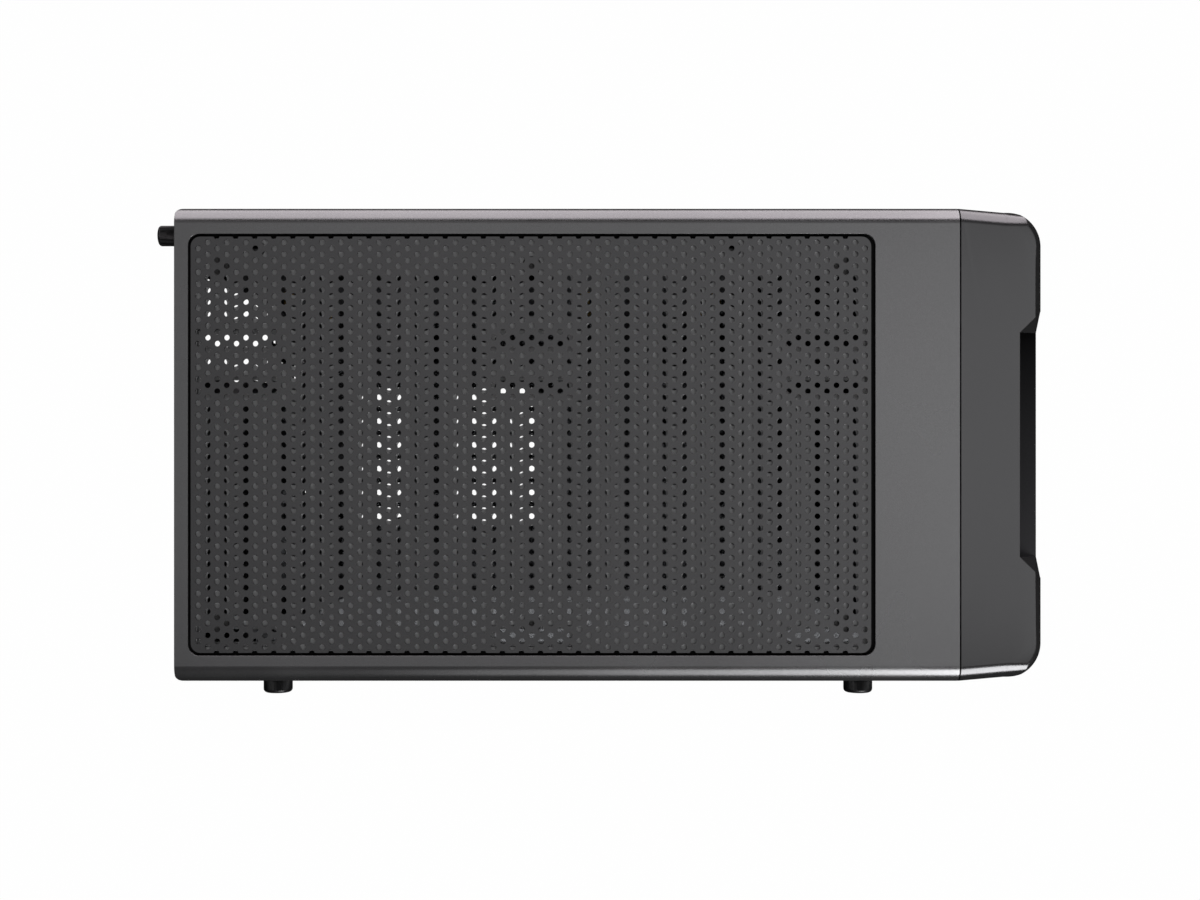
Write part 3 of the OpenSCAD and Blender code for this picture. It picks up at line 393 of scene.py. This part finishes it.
def fill(loops):
    """Triangles over the first loop, less the others, and each loop's points in the result."""
    flat, edges, owner = [], [], []
    for k, loop in enumerate(loops):
        start = len(flat)
        flat += [Vector((x / MM, y / MM)) for x, y in loop]
        edges += [(start + i, start + (i + 1) % len(loop)) for i in range(len(loop))]
        owner += [k] * len(loop)
    points, _, faces, source, _, _ = delaunay_2d_cdt(flat, edges, [], 1, 1e-5)
    where = {i: new for new, old in enumerate(source) for i in old}
    loop_of = [owner[old[0]] for old in source]
    kept = []
    for face in faces:
        k = loop_of[face[0]]
        if k and all(loop_of[i] == k for i in face):
            middle = sum((points[i] for i in face), Vector((0, 0))) / 3 * MM
            if inside(middle, loops[k]):
                continue
        kept.append(face)
    rims, start = [], 0
    for loop in loops:
        rims.append([where[start + i] for i in range(len(loop))])
        start += len(loop)
    return [p * MM for p in points], kept, rims


class Solid:
    """Gathers sheets and turned shapes into one mesh."""

    def __init__(self, name):
        self.name = name
        self.mesh = bmesh.new()

    def sheet(self, loops, low, high, place):
        """A flat sheet with holes; place(x, y, z) turns sheet coordinates into a point."""
        points, faces, rims = fill(loops)
        under = [self.mesh.verts.new(place(p.x, p.y, low)) for p in points]
        over = [self.mesh.verts.new(place(p.x, p.y, high)) for p in points]
        for face in faces:
            self.mesh.faces.new([over[i] for i in face])
            self.mesh.faces.new([under[i] for i in reversed(face)])
        for rim in rims:
            for a, b in zip(rim, rim[1:] + rim[:1]):
                self.mesh.faces.new((under[a], under[b], over[b], over[a]))

    def turned(self, profile, place, count, ripple=None):
        """A closed turned shape; profile is a list of (radius, height), place(x, y, z) as above."""
        rings = []
        for r, z in profile:
            if r <= 0:
                rings.append([self.mesh.verts.new(place(0, 0, z))] * count)
                continue
            ring = []
            for k in range(count):
                a = 2 * math.pi * k / count
                q = r + (ripple(a, z) if ripple else 0.0)
                ring.append(self.mesh.verts.new(place(q * math.cos(a), q * math.sin(a), z)))
            rings.append(ring)
        for low, high in zip(rings, rings[1:]):
            for k in range(count):
                quad = (low[k], low[(k + 1) % count], high[(k + 1) % count], high[k])
                corners = list(dict.fromkeys(quad))
                if len(corners) > 2:
                    self.mesh.faces.new(corners)

    def done(self, material, body, smooth=None):
        """The finished piece, riding on a body; smooth is the angle below which edges are shaded round."""
        for face in self.mesh.faces:
            face.material_index = 0
        bmesh.ops.recalc_face_normals(self.mesh, faces=self.mesh.faces)
        data = bpy.data.meshes.new(self.name)
        self.mesh.to_mesh(data)
        self.mesh.free()
        piece = bpy.data.objects.new(self.name, data)
        bpy.context.scene.collection.objects.link(piece)
        data.materials.append(material)
        if smooth:
            data.shade_smooth()
            data.set_sharp_from_angle(angle=math.radians(smooth))
        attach(piece, body)
        return piece


def level(x, y, z):
    """Lays a sheet flat."""
    return (x, y, z)


def upright(y, z, x):
    """Stands a sheet on edge along the case."""
    return (x, y, z)


# Perforated dust filter: a staggered pattern, open at the long edges
HOLE_STEP_Y = 4.0 * MM
HOLE_STEP_X = 5.0 * MM
HOLE_R = 1.22 * MM
HOLE_COLUMNS = 35
HOLE_ROWS = 35
FILTER_CORNER = 4.0 * MM
BITE_OUT = 0.1 * MM
BITE_STEPS = 8
HOLE_STEPS = 12
FRONT_TRIM = 0.6 * MM


def filter_outline(half_w, half_l):
    """The sheet's outline, with a bite at the long edges in every second column."""
    centre = half_w + BITE_OUT
    reach = math.acos(-BITE_OUT / HOLE_R)
    height = HOLE_R * math.sin(reach)
    side = []
    for i in range(-HOLE_COLUMNS + 2, HOLE_COLUMNS - 1, 2):
        y = i * HOLE_STEP_Y
        arc = circle(centre, y, HOLE_R, BITE_STEPS, -reach, -2 * math.pi + reach)
        side += [(half_w, y - height)] + arc[1:-1] + [(half_w, y + height)]
    corner = rounded(0, 0, 2 * half_w, 2 * half_l, FILTER_CORNER)
    count = len(corner) // 4
    parts = [corner[k * count:(k + 1) * count] for k in range(4)]
    return parts[0] + parts[1] + [(-x, -y) for x, y in side] + parts[2] + parts[3] + side


def dust_filter(material):
    half = (FILTER_HIGH - FILTER_LOW) / 2
    loops = [[(x, y + FRONT_TRIM / 2) for x, y in filter_outline(half.x, half.y - FRONT_TRIM / 2)]]
    for i in range(-HOLE_COLUMNS, HOLE_COLUMNS + 1):
        rows = HOLE_ROWS - abs(i) % 2
        for j in range(rows):
            loops.append(circle((j - (rows - 1) / 2) * HOLE_STEP_X, i * HOLE_STEP_Y, HOLE_R, HOLE_STEPS))
    middle = (FILTER_LOW + FILTER_HIGH) / 2
    solid = Solid("dust_filter")
    solid.sheet(loops, FILTER_LOW.z, FILTER_HIGH.z, lambda x, y, z: (x + middle.x, y + middle.y, z))
    piece = solid.done(material, "top_filter")
    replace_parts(piece, "top_filter")


# Top panel: a square vent grid, nine sunk pads with a slot, two cable holes, and its two flanges
SHEET = 1.0 * MM
VENT_STEP = 5.0 * MM
VENT_R = 1.7 * MM
VENT_COLUMNS = 27
VENT_ROWS = 30
VENT_TOP_X = 69.6 * MM
PAD_X = (-80.5 * MM, 24.5 * MM, 44.0 * MM)
PAD_STEP = 122.9 * MM
PAD_L = 36.0 * MM
PAD_W = 9.4 * MM
PAD_DEPTH = 2.2 * MM
PAD_SLOT_L = 31.6 * MM
PAD_SLOT_W = 5.4 * MM
DECK_HOLE_R = 3.3 * MM
DECK_HOLES = ((82.5 * MM, 115.4 * MM), (82.5 * MM, -85.1 * MM))
RAIL_H = 27.0 * MM
LIP_H = 12.0 * MM
RAIL_HOLE_R = 2.5 * MM
DECK_STEPS = 20
PAD_STEPS = 10
# Painted shade: a near-black strip in the gap round the filter; how far it reaches out, how far in under the
# filter, and how far below the filter it stops
SHADE_STRIP_LAP = 0.6 * MM
SHADE_STRIP_GAP = 1.2 * MM
SHADE_STRIP_UNDER = 0.1 * MM


def painted_gap_shade(material):
    """Near-black strip in the gap round the filter, laid there as painted shade for that dark gap."""
    half = (FILTER_HIGH - FILTER_LOW) / 2
    middle = (FILTER_LOW + FILTER_HIGH) / 2
    solid = Solid("filter_shade_strip")
    loops = [rounded(middle.x, middle.y, 2 * (half.x + grow), 2 * (half.y + grow), FILTER_CORNER + grow)
             for grow in (SHADE_STRIP_GAP, -SHADE_STRIP_LAP)]
    solid.sheet(loops, DECK_HIGH.z, FILTER_LOW.z - SHADE_STRIP_UNDER, level)
    solid.done(material, "chassis")


def top_panel(material):
    deck = DECK_HIGH.z
    pads = [(MIDDLE_X + x, FILTER_Y + i * PAD_STEP) for x in PAD_X for i in (-1, 0, 1)]

    def clear(x, y):
        return all(abs(x - px) > PAD_W / 2 + VENT_R or abs(y - py) > PAD_L / 2 + VENT_R for px, py in pads)

    loops = [rectangle(DECK_LOW.x, DECK_LOW.y, DECK_HIGH.x, DECK_HIGH.y)]
    loops += [rounded(px, py, PAD_W, PAD_L, SHEET) for px, py in pads]
    for i in range(-VENT_COLUMNS, VENT_COLUMNS + 1):
        for j in range(VENT_ROWS):
            x, y = MIDDLE_X + VENT_TOP_X - j * VENT_STEP, FILTER_Y + i * VENT_STEP
            if clear(x, y):
                loops.append(circle(x, y, VENT_R, HOLE_STEPS))
    loops += [circle(MIDDLE_X + x, FILTER_Y + y, DECK_HOLE_R, DECK_STEPS) for x, y in DECK_HOLES]
    solid = Solid("vented_deck")
    solid.sheet(loops, deck - SHEET, deck, level)
    for px, py in pads:
        rim = rounded(px, py, PAD_W + 2 * SHEET, PAD_L + 2 * SHEET, 2 * SHEET)
        solid.sheet([rim, rounded(px, py, PAD_W, PAD_L, SHEET)], deck - PAD_DEPTH, deck - SHEET, level)
        reach = (PAD_SLOT_L - PAD_SLOT_W) / 2
        slot = circle(px, py + reach, PAD_SLOT_W / 2, PAD_STEPS, 0, math.pi)
        slot += circle(px, py - reach, PAD_SLOT_W / 2, PAD_STEPS, math.pi, 2 * math.pi)
        solid.sheet([rim, slot], deck - PAD_DEPTH - SHEET, deck - PAD_DEPTH, level)
    y0, y1 = DECK_LOW.y + SHEET, DECK_HIGH.y - SHEET
    under = deck - SHEET
    bolts = [(y, z) for y, z in glass_bolts() if z > TOP_Z / 2]
    rail = [rectangle(y0, under - RAIL_H, y1, under)]
    rail += [circle(y, z, RAIL_HOLE_R, DECK_STEPS) for y, z in bolts]
    solid.sheet(rail, DECK_LOW.x, DECK_LOW.x + SHEET, upright)
    solid.sheet([rectangle(y0, under - LIP_H, y1, under)], DECK_HIGH.x - SHEET, DECK_HIGH.x, upright)
    piece = solid.done(material, "chassis")
    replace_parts(piece, "top_panel")


# Thumbscrews
KNOB_R = 6.2 * MM
KNOB_EDGE = 1.6 * MM
KNOB_SHANK_R = 2.0 * MM
KNURL_DEPTH = 0.22 * MM
KNURL_TEETH = 60
KNOB_EDGE_STEPS = 6
KNOB_FOOT = 1.0 * MM
KNOB_START = 1.4 * MM
KNOB_FOOT_IN = 0.5 * MM
KNOB_GROOVE = 0.6 * MM
KNOB_DISH = 0.3 * MM
COLLAR_SHARE = 0.86
THREAD_STEP = 0.7 * MM
THREAD_ROOT_SHARE = 0.86
THUMB_EDGE = 1.2 * MM
THUMB_SHANK_R = 1.75 * MM
SCREW_SMOOTH = 35


def glass_bolts():
    """Middles of the glass thumbscrews, as (y, z)."""
    low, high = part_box("glass_screws")
    return [(y, z) for y in (low.y + KNOB_R, high.y - KNOB_R) for z in (low.z + KNOB_R, high.z - KNOB_R)]


def knob_profile(radius, length, edge, shank, reach):
    """Radius and height of a thumbscrew from its thread's end to its face, with a groove under the head."""
    start = -reach + shank * 0.3
    collar = radius * COLLAR_SHARE
    points = [(0, -reach), (shank * 0.7, -reach), (shank, start)]
    turns = int(reach / THREAD_STEP)
    for k in range(1, turns):
        points.append((shank * (THREAD_ROOT_SHARE if k % 2 else 1.0), start - k * start / turns))
    points += [(shank, 0), (collar, 0), (collar, KNOB_GROOVE), (radius - KNOB_FOOT_IN, KNOB_FOOT)]
    points += [(radius, KNOB_START), (radius, length - edge)]
    for k in range(1, KNOB_EDGE_STEPS + 1):
        a = math.pi / 2 * (1 - k / KNOB_EDGE_STEPS)
        points.append((radius - edge + edge * math.sin(a), length - edge + edge * math.cos(a)))
    points += [(radius * 0.55, length), (radius * 0.5, length - KNOB_DISH), (0, length - KNOB_DISH)]
    return points


def knobs(name, node, body, material, places, place_at, radius, length, edge, shank, reach):
    def knurl(angle, z):
        if not KNOB_START <= z <= length - edge:
            return 0.0
        return -KNURL_DEPTH * (0.5 + 0.5 * math.cos(angle * KNURL_TEETH))

    solid = Solid(name)
    profile = knob_profile(radius, length, edge, shank, reach)
    for where in places:
        solid.turned(profile, place_at(where), 4 * KNURL_TEETH, knurl)
    piece = solid.done(material, body, SCREW_SMOOTH)
    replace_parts(piece, node)


def thumbscrews(material):
    low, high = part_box("glass_screws")
    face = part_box("glass_pane")[0].x
    knobs("glass_knobs", "glass_screws", "glass_side", material, glass_bolts(),
          lambda at: lambda x, y, z: (face - z, at[0] + x, at[1] + y),
          KNOB_R, face - low.x, KNOB_EDGE, KNOB_SHANK_R, high.x - face)
    low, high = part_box("side_panel_screws")
    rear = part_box("side_panel")[1].y
    radius = (high.x - low.x) / 2
    centre = (low.x + high.x) / 2
    knobs("rear_knobs", "side_panel_screws", "steel_side", material, (low.z + radius, high.z - radius),
          lambda at: lambda x, y, z: (centre + x, rear + z, at - y),
          radius, high.y - rear, THUMB_EDGE, THUMB_SHANK_R, rear - low.y)


# Screws with a cross recess
CROSS_W = 0.5 * MM
CROSS_L = 2.2 * MM
CROSS_DEPTH = 1.1 * MM
CROSS_PLATE = 0.2 * MM
HEAD_TOP_SHARE = 0.72
HEAD_STEPS = 24
SCREW_STEPS = 32
FAN_SCREW = dict(shank_r=2.0 * MM, reach=10 * MM, head_r=4.0 * MM, head_t=2.4 * MM)
FAN_SEAT_IN = 11 * MM
CARD_SCREW = dict(shank_r=1.75 * MM, reach=7 * MM, head_r=4.0 * MM, head_t=2.2 * MM)
CARDS = 7


def cross(half, width):
    """Two crossed bars, counter-clockwise."""
    arm = [(half, -width), (half, width), (width, width)]
    points = []
    for _ in range(4):
        points += arm
        arm = [(-y, x) for x, y in arm]
    return points


def cross_screw(solid, place, shank_r, reach, head_r, head_t):
    """A domed screw head with a cross recess, its thread running back from the seat."""
    top_r = head_r * HEAD_TOP_SHARE
    shank = [(0, -reach), (shank_r * 0.6, -reach), (shank_r, -reach + shank_r), (shank_r, 0)]
    head = [(head_r, 0), (head_r, head_t * 0.35), (head_r * 0.93, head_t * 0.7)]
    recess = [(top_r, head_t - CROSS_PLATE / 2), (0, head_t - CROSS_DEPTH)]
    solid.turned(shank + head + recess, place, SCREW_STEPS)
    plate = [circle(0, 0, top_r, HEAD_STEPS), cross(CROSS_L, CROSS_W)]
    solid.sheet(plate, head_t - CROSS_PLATE, head_t, place)


def fan_screws(material):
    solid = Solid("fan_screws")
    low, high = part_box("rear_fan_screws")
    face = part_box("rear_panel")[1].y - FAN_SEAT_IN
    head_r = FAN_SCREW["head_r"]
    for x in (low.x + head_r, high.x - head_r):
        for z in (low.z + head_r, high.z - head_r):
            cross_screw(solid, lambda a, b, c, x=x, z=z: (x + a, face + c, z - b), **FAN_SCREW)
    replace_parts(solid.done(material, "chassis", SCREW_SMOOTH), "rear_fan_screws")


def card_screws(material):
    solid = Solid("card_screws")
    low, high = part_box("slot_screws")
    seat = low.x + CARD_SCREW["head_t"]
    y = (low.y + high.y) / 2
    first, last = low.z + CARD_SCREW["head_r"], high.z - CARD_SCREW["head_r"]
    for k in range(CARDS):
        z = first + k * (last - first) / (CARDS - 1)
        cross_screw(solid, lambda a, b, c, z=z: (seat - c, y + a, z + b), **CARD_SCREW)
    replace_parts(solid.done(material, "chassis", SCREW_SMOOTH), "slot_screws")


# Bezel: the CAD's shell, with the cover's round long edges carried on along its tapered sides,
# a smaller round edge along its front and corners, sloped ends of the notch, and a floor below
BEZEL_ROUND = 7.0 * MM
BEZEL_FRONT_ROUND = 3.0 * MM
BEZEL_CORNER = 15.0 * MM
BEZEL_TAPER = 1.7 * MM
BEZEL_FLOOR_INSET = 1.2 * MM
BEZEL_FLOOR_UP = 1.0 * MM
BEZEL_FLOOR_T = 2.0 * MM
LEDGE_BACK = 1.6 * MM
LEDGE_FLARE = 0.97
OVERRUN = 1.0 * MM
CLEARANCE = 0.004 * MM
SAME_POINT = 0.001 * MM
ARC_STEPS = 24
FRONT_STEPS = 12
BEZEL_SMOOTH = 25


def copy_of(name, mesh):
    """Puts a CAD node's form into a mesh, with its doubled points merged."""
    node = frame["nodes"][name]
    mesh.from_mesh(node.data)
    mesh.transform(node.matrix_world)
    bmesh.ops.remove_doubles(mesh, verts=mesh.verts, dist=SAME_POINT)


def object_of(name, mesh):
    data = bpy.data.meshes.new(name)
    mesh.to_mesh(data)
    mesh.free()
    thing = bpy.data.objects.new(name, data)
    bpy.context.scene.collection.objects.link(thing)
    return thing


def loft(name, rings):
    """A closed form through rings of equal length."""
    mesh = bmesh.new()
    loops = [[mesh.verts.new(point) for point in ring] for ring in rings]
    for near, far in zip(loops, loops[1:]):
        for k in range(len(near)):
            after = (k + 1) % len(near)
            mesh.faces.new((near[k], near[after], far[after], far[k]))
    mesh.faces.new(loops[0])
    mesh.faces.new(list(reversed(loops[-1])))
    bmesh.ops.recalc_face_normals(mesh, faces=mesh.faces)
    return object_of(name, mesh)


def side_form(low, high):
    """The bezel's section across the case, carried on along its tapered sides."""
    middle, half = (low.x + high.x) / 2, (high.x - low.x) / 2 + CLEARANCE
    narrow = half - BEZEL_TAPER
    beyond = half + BEZEL_TAPER * OVERRUN / (high.y - low.y - BEZEL_CORNER)
    top = high.z + CLEARANCE
    rings = []
    for y, w in ((high.y + OVERRUN, beyond), (low.y + BEZEL_CORNER, narrow), (low.y - OVERRUN, narrow)):
        right = circle(w - BEZEL_ROUND, top - BEZEL_ROUND, BEZEL_ROUND, ARC_STEPS, 0, math.pi / 2)
        right.insert(0, (w, low.z - OVERRUN))
        outline = right + [(-x, z) for x, z in reversed(right)]
        rings.append([(middle + x, y, z) for x, z in outline])
    return loft("side_form", rings)


def plan(low, high, inset, back):
    """The bezel's outline seen from above, drawn in by the inset and ending at the given back."""
    middle, half = (low.x + high.x) / 2, (high.x - low.x) / 2
    beyond = half + BEZEL_TAPER * OVERRUN / (high.y - low.y - BEZEL_CORNER)
    corner_x, corner_y = half - BEZEL_TAPER - BEZEL_CORNER, low.y + BEZEL_CORNER
    right = circle(corner_x, corner_y, BEZEL_CORNER - inset, ARC_STEPS, -math.pi / 2, 0)
    right.append((beyond - inset, back))
    return [(middle + x, y) for x, y in right + [(-x, y) for x, y in reversed(right)]]


def plan_form(low, high):
    """The bezel's plan, drawn in towards the top for the round edge."""
    start = high.z - BEZEL_FRONT_ROUND
    levels = [(low.z - OVERRUN, 0.0), (start, 0.0)]
    for k in range(1, FRONT_STEPS + 1):
        a = math.pi / 2 * k / FRONT_STEPS
        levels.append((start + BEZEL_FRONT_ROUND * math.sin(a), BEZEL_FRONT_ROUND * (1 - math.cos(a))))
    levels[-1] = (high.z + CLEARANCE, BEZEL_FRONT_ROUND)
    back = high.y + OVERRUN
    return loft("plan_form", [[(x, y, z) for x, y in plan(low, high, inset - CLEARANCE, back)]
                              for z, inset in levels])


def notch_ends(solid, low, high):
    """The sloped ends of the notch, from its corners on the top down to the ledge of the centre panel."""
    panel_low, panel_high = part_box("front_grille")
    ledge = panel_high.z + CLEARANCE
    for x, way in ((panel_low.x, 1), (panel_high.x, -1)):
        inner = x + way * (panel_high.y - panel_low.y) * LEDGE_FLARE
        corner, foot = (x, low.y, high.z - BEZEL_FRONT_ROUND), (x, low.y, ledge)
        start = (x + way * BEZEL_FRONT_ROUND * LEDGE_FLARE, low.y + BEZEL_FRONT_ROUND, high.z)
        back, back_foot = (inner, panel_high.y, high.z), (inner, panel_high.y, ledge)
        tip = (inner, panel_low.y + LEDGE_BACK, ledge)
        points = [solid.mesh.verts.new(p) for p in (corner, start, back, tip, foot, back_foot)]
        walls = ((0, 1, 3), (1, 2, 3), (2, 5, 3), (0, 3, 4), (4, 3, 5), (0, 4, 5, 2, 1))
        faces = [solid.mesh.faces.new([points[k] for k in wall]) for wall in walls]
        bmesh.ops.recalc_face_normals(solid.mesh, faces=faces)


def rounded_bezel(material):
    low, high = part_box("front_bezel")
    mesh = bmesh.new()
    copy_of("front_bezel", mesh)
    shell = object_of("bezel_shell", mesh)
    forms = [side_form(low, high), plan_form(low, high)]
    for form in forms:
        common = shell.modifiers.new("common", "BOOLEAN")
        common.operation = "INTERSECT"
        common.solver = "EXACT"
        common.object = form
    bpy.context.view_layer.update()
    result = bpy.data.meshes.new_from_object(shell.evaluated_get(bpy.context.evaluated_depsgraph_get()))
    solid = Solid("rounded_bezel")
    solid.mesh.from_mesh(result)
    for thing in [shell] + forms:
        bpy.data.objects.remove(thing)
    floor = low.z + BEZEL_FLOOR_UP
    outline = plan(low, high, BEZEL_FLOOR_INSET, high.y - BEZEL_FLOOR_INSET)
    solid.sheet([outline], floor, floor + BEZEL_FLOOR_T, level)
    notch_ends(solid, low, high)
    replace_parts(solid.done(material, "front_bezel", BEZEL_SMOOTH), "front_bezel")


# Centre panel: the CAD's panel, with the front of its ledge drawn back to the slotted plate
def centre_panel(material):
    low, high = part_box("front_grille")
    middle = (low.x + high.x) / 2
    solid = Solid("centre_panel")
    copy_of("front_grille", solid.mesh)
    for vert in solid.mesh.verts:
        if vert.co.y < low.y + LEDGE_BACK / 2:
            inward = LEDGE_BACK * LEDGE_FLARE
            vert.co.x += inward if vert.co.x < middle else -inward
            vert.co.y += LEDGE_BACK
    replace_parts(solid.done(material, "front_bezel", BEZEL_SMOOTH), "front_grille")


# Gold contacts on the socket tongues
CONTACTS = 4
CONTACT_W = 1.0 * MM
CONTACT_L = 8.0 * MM
CONTACT_T = 0.15 * MM
CONTACT_STEP = 2.3 * MM
TONGUE_X = 2.5 * MM
TONGUE_IN = 1.5 * MM
SOCKET_HALF = 6.8 * MM


def contacts(material):
    low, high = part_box("usb_ports")
    solid = Solid("usb_contacts")
    face = low.x + TONGUE_X
    front = low.y + TONGUE_IN
    for middle in (low.z + SOCKET_HALF, high.z - SOCKET_HALF):
        for k in range(CONTACTS):
            z = middle + (k - (CONTACTS - 1) / 2) * CONTACT_STEP
            strip = rectangle(front, z - CONTACT_W / 2, front + CONTACT_L, z + CONTACT_W / 2)
            solid.sheet([strip], face, face + CONTACT_T, upright)
    solid.done(material, "front_bezel")


# Finishes of the carried-over nodes; a few have one of their own in place of their slot's
OWN_FINISH = {"power_button": "black_button", "reset_button": "black_button"}


def dress(materials):
    slots = {row["node"]: row["material_slot"] for row in frame["record"]["subparts"]}
    for name, node in frame["nodes"].items():
        material = materials[OWN_FINISH.get(name, slots[name])]
        if not node.data.materials:
            node.data.materials.append(material)
        for place in node.material_slots:
            place.material = material


# Floor and light
WORLD_LIGHT = 0.06
FLOOR_SIZE = 4.0
FLOOR_COLOUR = (0.02, 0.02, 0.02, 1)
FLOOR_WHITE = 0.993
FLOOR_ROUGH = 0.9
FLOOR_SHINE = 0.1
WHITE = (1.0, 1.0, 1.0)
PINK = (1.0, 0.93, 0.96)
OVER_TOP = (0.0, 0.0, 0.45)

# Lights: name, place, target, width, height, radiance and colour
LIGHTS = (
    ("over_all", (0.22, -0.40, 3.45), OVER_TOP, 3.3, 1.75, 0.79, WHITE),
    ("over_front", (0.0, -1.2, 3.40), OVER_TOP, 1.6, 1.2, 0.6, WHITE),
    ("steel_side", (1.3, 0.35, 0.95), (0.0, 0.35, 0.95), 1.6, 1.86, 3.9, PINK),
    ("steel_side_front", (1.3, -0.75, 0.95), (0.0, -0.75, 0.95), 0.6, 1.86, 6.0, PINK),
    ("steel_side_floor", (1.12, 0.0, 0.01), (1.12, 0.0, 1.0), 2.0, 0.55, 3.0, PINK),
    ("glass_side_front", (-1.23, -0.80, 1.30), (-0.1, -0.80, 0.45), 0.7, 1.1, 15.0, WHITE),
    ("glass_side_middle", (-1.23, -0.28, 1.30), (-0.1, -0.28, 0.45), 0.34, 1.1, 3.7, WHITE),
    ("glass_side_rear", (-1.23, 0.05, 1.30), (-0.1, 0.05, 0.45), 0.32, 1.1, 0.9, WHITE),
)


def make_floor():
    mat, tree, shader = new_material("floor")
    shader.inputs["Base Color"].default_value = FLOOR_COLOUR
    shader.inputs["Roughness"].default_value = FLOOR_ROUGH
    shader.inputs["Specular IOR Level"].default_value = FLOOR_SHINE
    glow = tree.nodes.new("ShaderNodeEmission")
    glow.inputs["Strength"].default_value = 1.0
    path = tree.nodes.new("ShaderNodeLightPath")
    seen = maths(tree, "MAXIMUM", path.outputs["Is Camera Ray"], path.outputs["Is Transmission Ray"])
    mix = tree.nodes.new("ShaderNodeMixShader")
    tree.links.new(maths(tree, "MULTIPLY", seen, FLOOR_WHITE), mix.inputs[0])
    tree.links.new(shader.outputs[0], mix.inputs[1])
    tree.links.new(glow.outputs[0], mix.inputs[2])
    tree.links.new(mix.outputs[0], tree.nodes["Material Output"].inputs["Surface"])
    data = bpy.data.meshes.new("floor")
    half = FLOOR_SIZE / 2
    data.from_pydata([(x, y, 0) for x, y in rectangle(-half, -half, half, half)], [], [(0, 1, 2, 3)])
    floor = bpy.data.objects.new("floor", data)
    bpy.context.scene.collection.objects.link(floor)
    data.materials.append(mat)


def area_light(name, place, target, width, height, radiance, colour):
    """A rectangular light whose face has the given radiance; width runs along Y for lights from the sides."""
    data = bpy.data.lights.new(name, "AREA")
    data.shape = "RECTANGLE"
    data.size = width
    data.size_y = height
    data.energy = radiance * math.pi * width * height
    data.color = colour
    light = bpy.data.objects.new(name, data)
    bpy.context.scene.collection.objects.link(light)
    light.location = place
    facing = (Vector(place) - Vector(target)).normalized()
    side = Vector((0, 1, 0)) if abs(facing.y) < 0.8 else Vector((1, 0, 0))
    across = (side - facing * side.dot(facing)).normalized()
    turn = Matrix((across, facing.cross(across), facing)).transposed().to_4x4()
    light.matrix_world = Matrix.Translation(place) @ turn


def make_light():
    world = bpy.data.worlds.new("studio")
    bpy.context.scene.world = world
    world.use_nodes = True
    tree = world.node_tree
    path = tree.nodes.new("ShaderNodeLightPath")
    back = tree.nodes["Background"]
    back.inputs["Color"].default_value = (1, 1, 1, 1)
    tree.links.new(ranged(tree, path.outputs["Is Camera Ray"], WORLD_LIGHT, 1.0), back.inputs["Strength"])
    for light in LIGHTS:
        area_light(*light)


make_camera()
make_floor()
make_light()
MATERIALS = make_materials()
dress(MATERIALS)
dust_filter(MATERIALS["filter_sheet"])
top_panel(MATERIALS["vent_paint"])
# Painted shade in the gap round the filter
painted_gap_shade(MATERIALS["painted_gap_shade"])
thumbscrews(MATERIALS["black_metal"])
fan_screws(MATERIALS["black_metal"])
card_screws(MATERIALS["black_metal"])
rounded_bezel(MATERIALS["bezel_plastic"])
centre_panel(MATERIALS["panel_plastic"])
contacts(MATERIALS["brass"])

scene = bpy.context.scene
scene.view_settings.view_transform = "Standard"
bpy.context.view_layer.update()
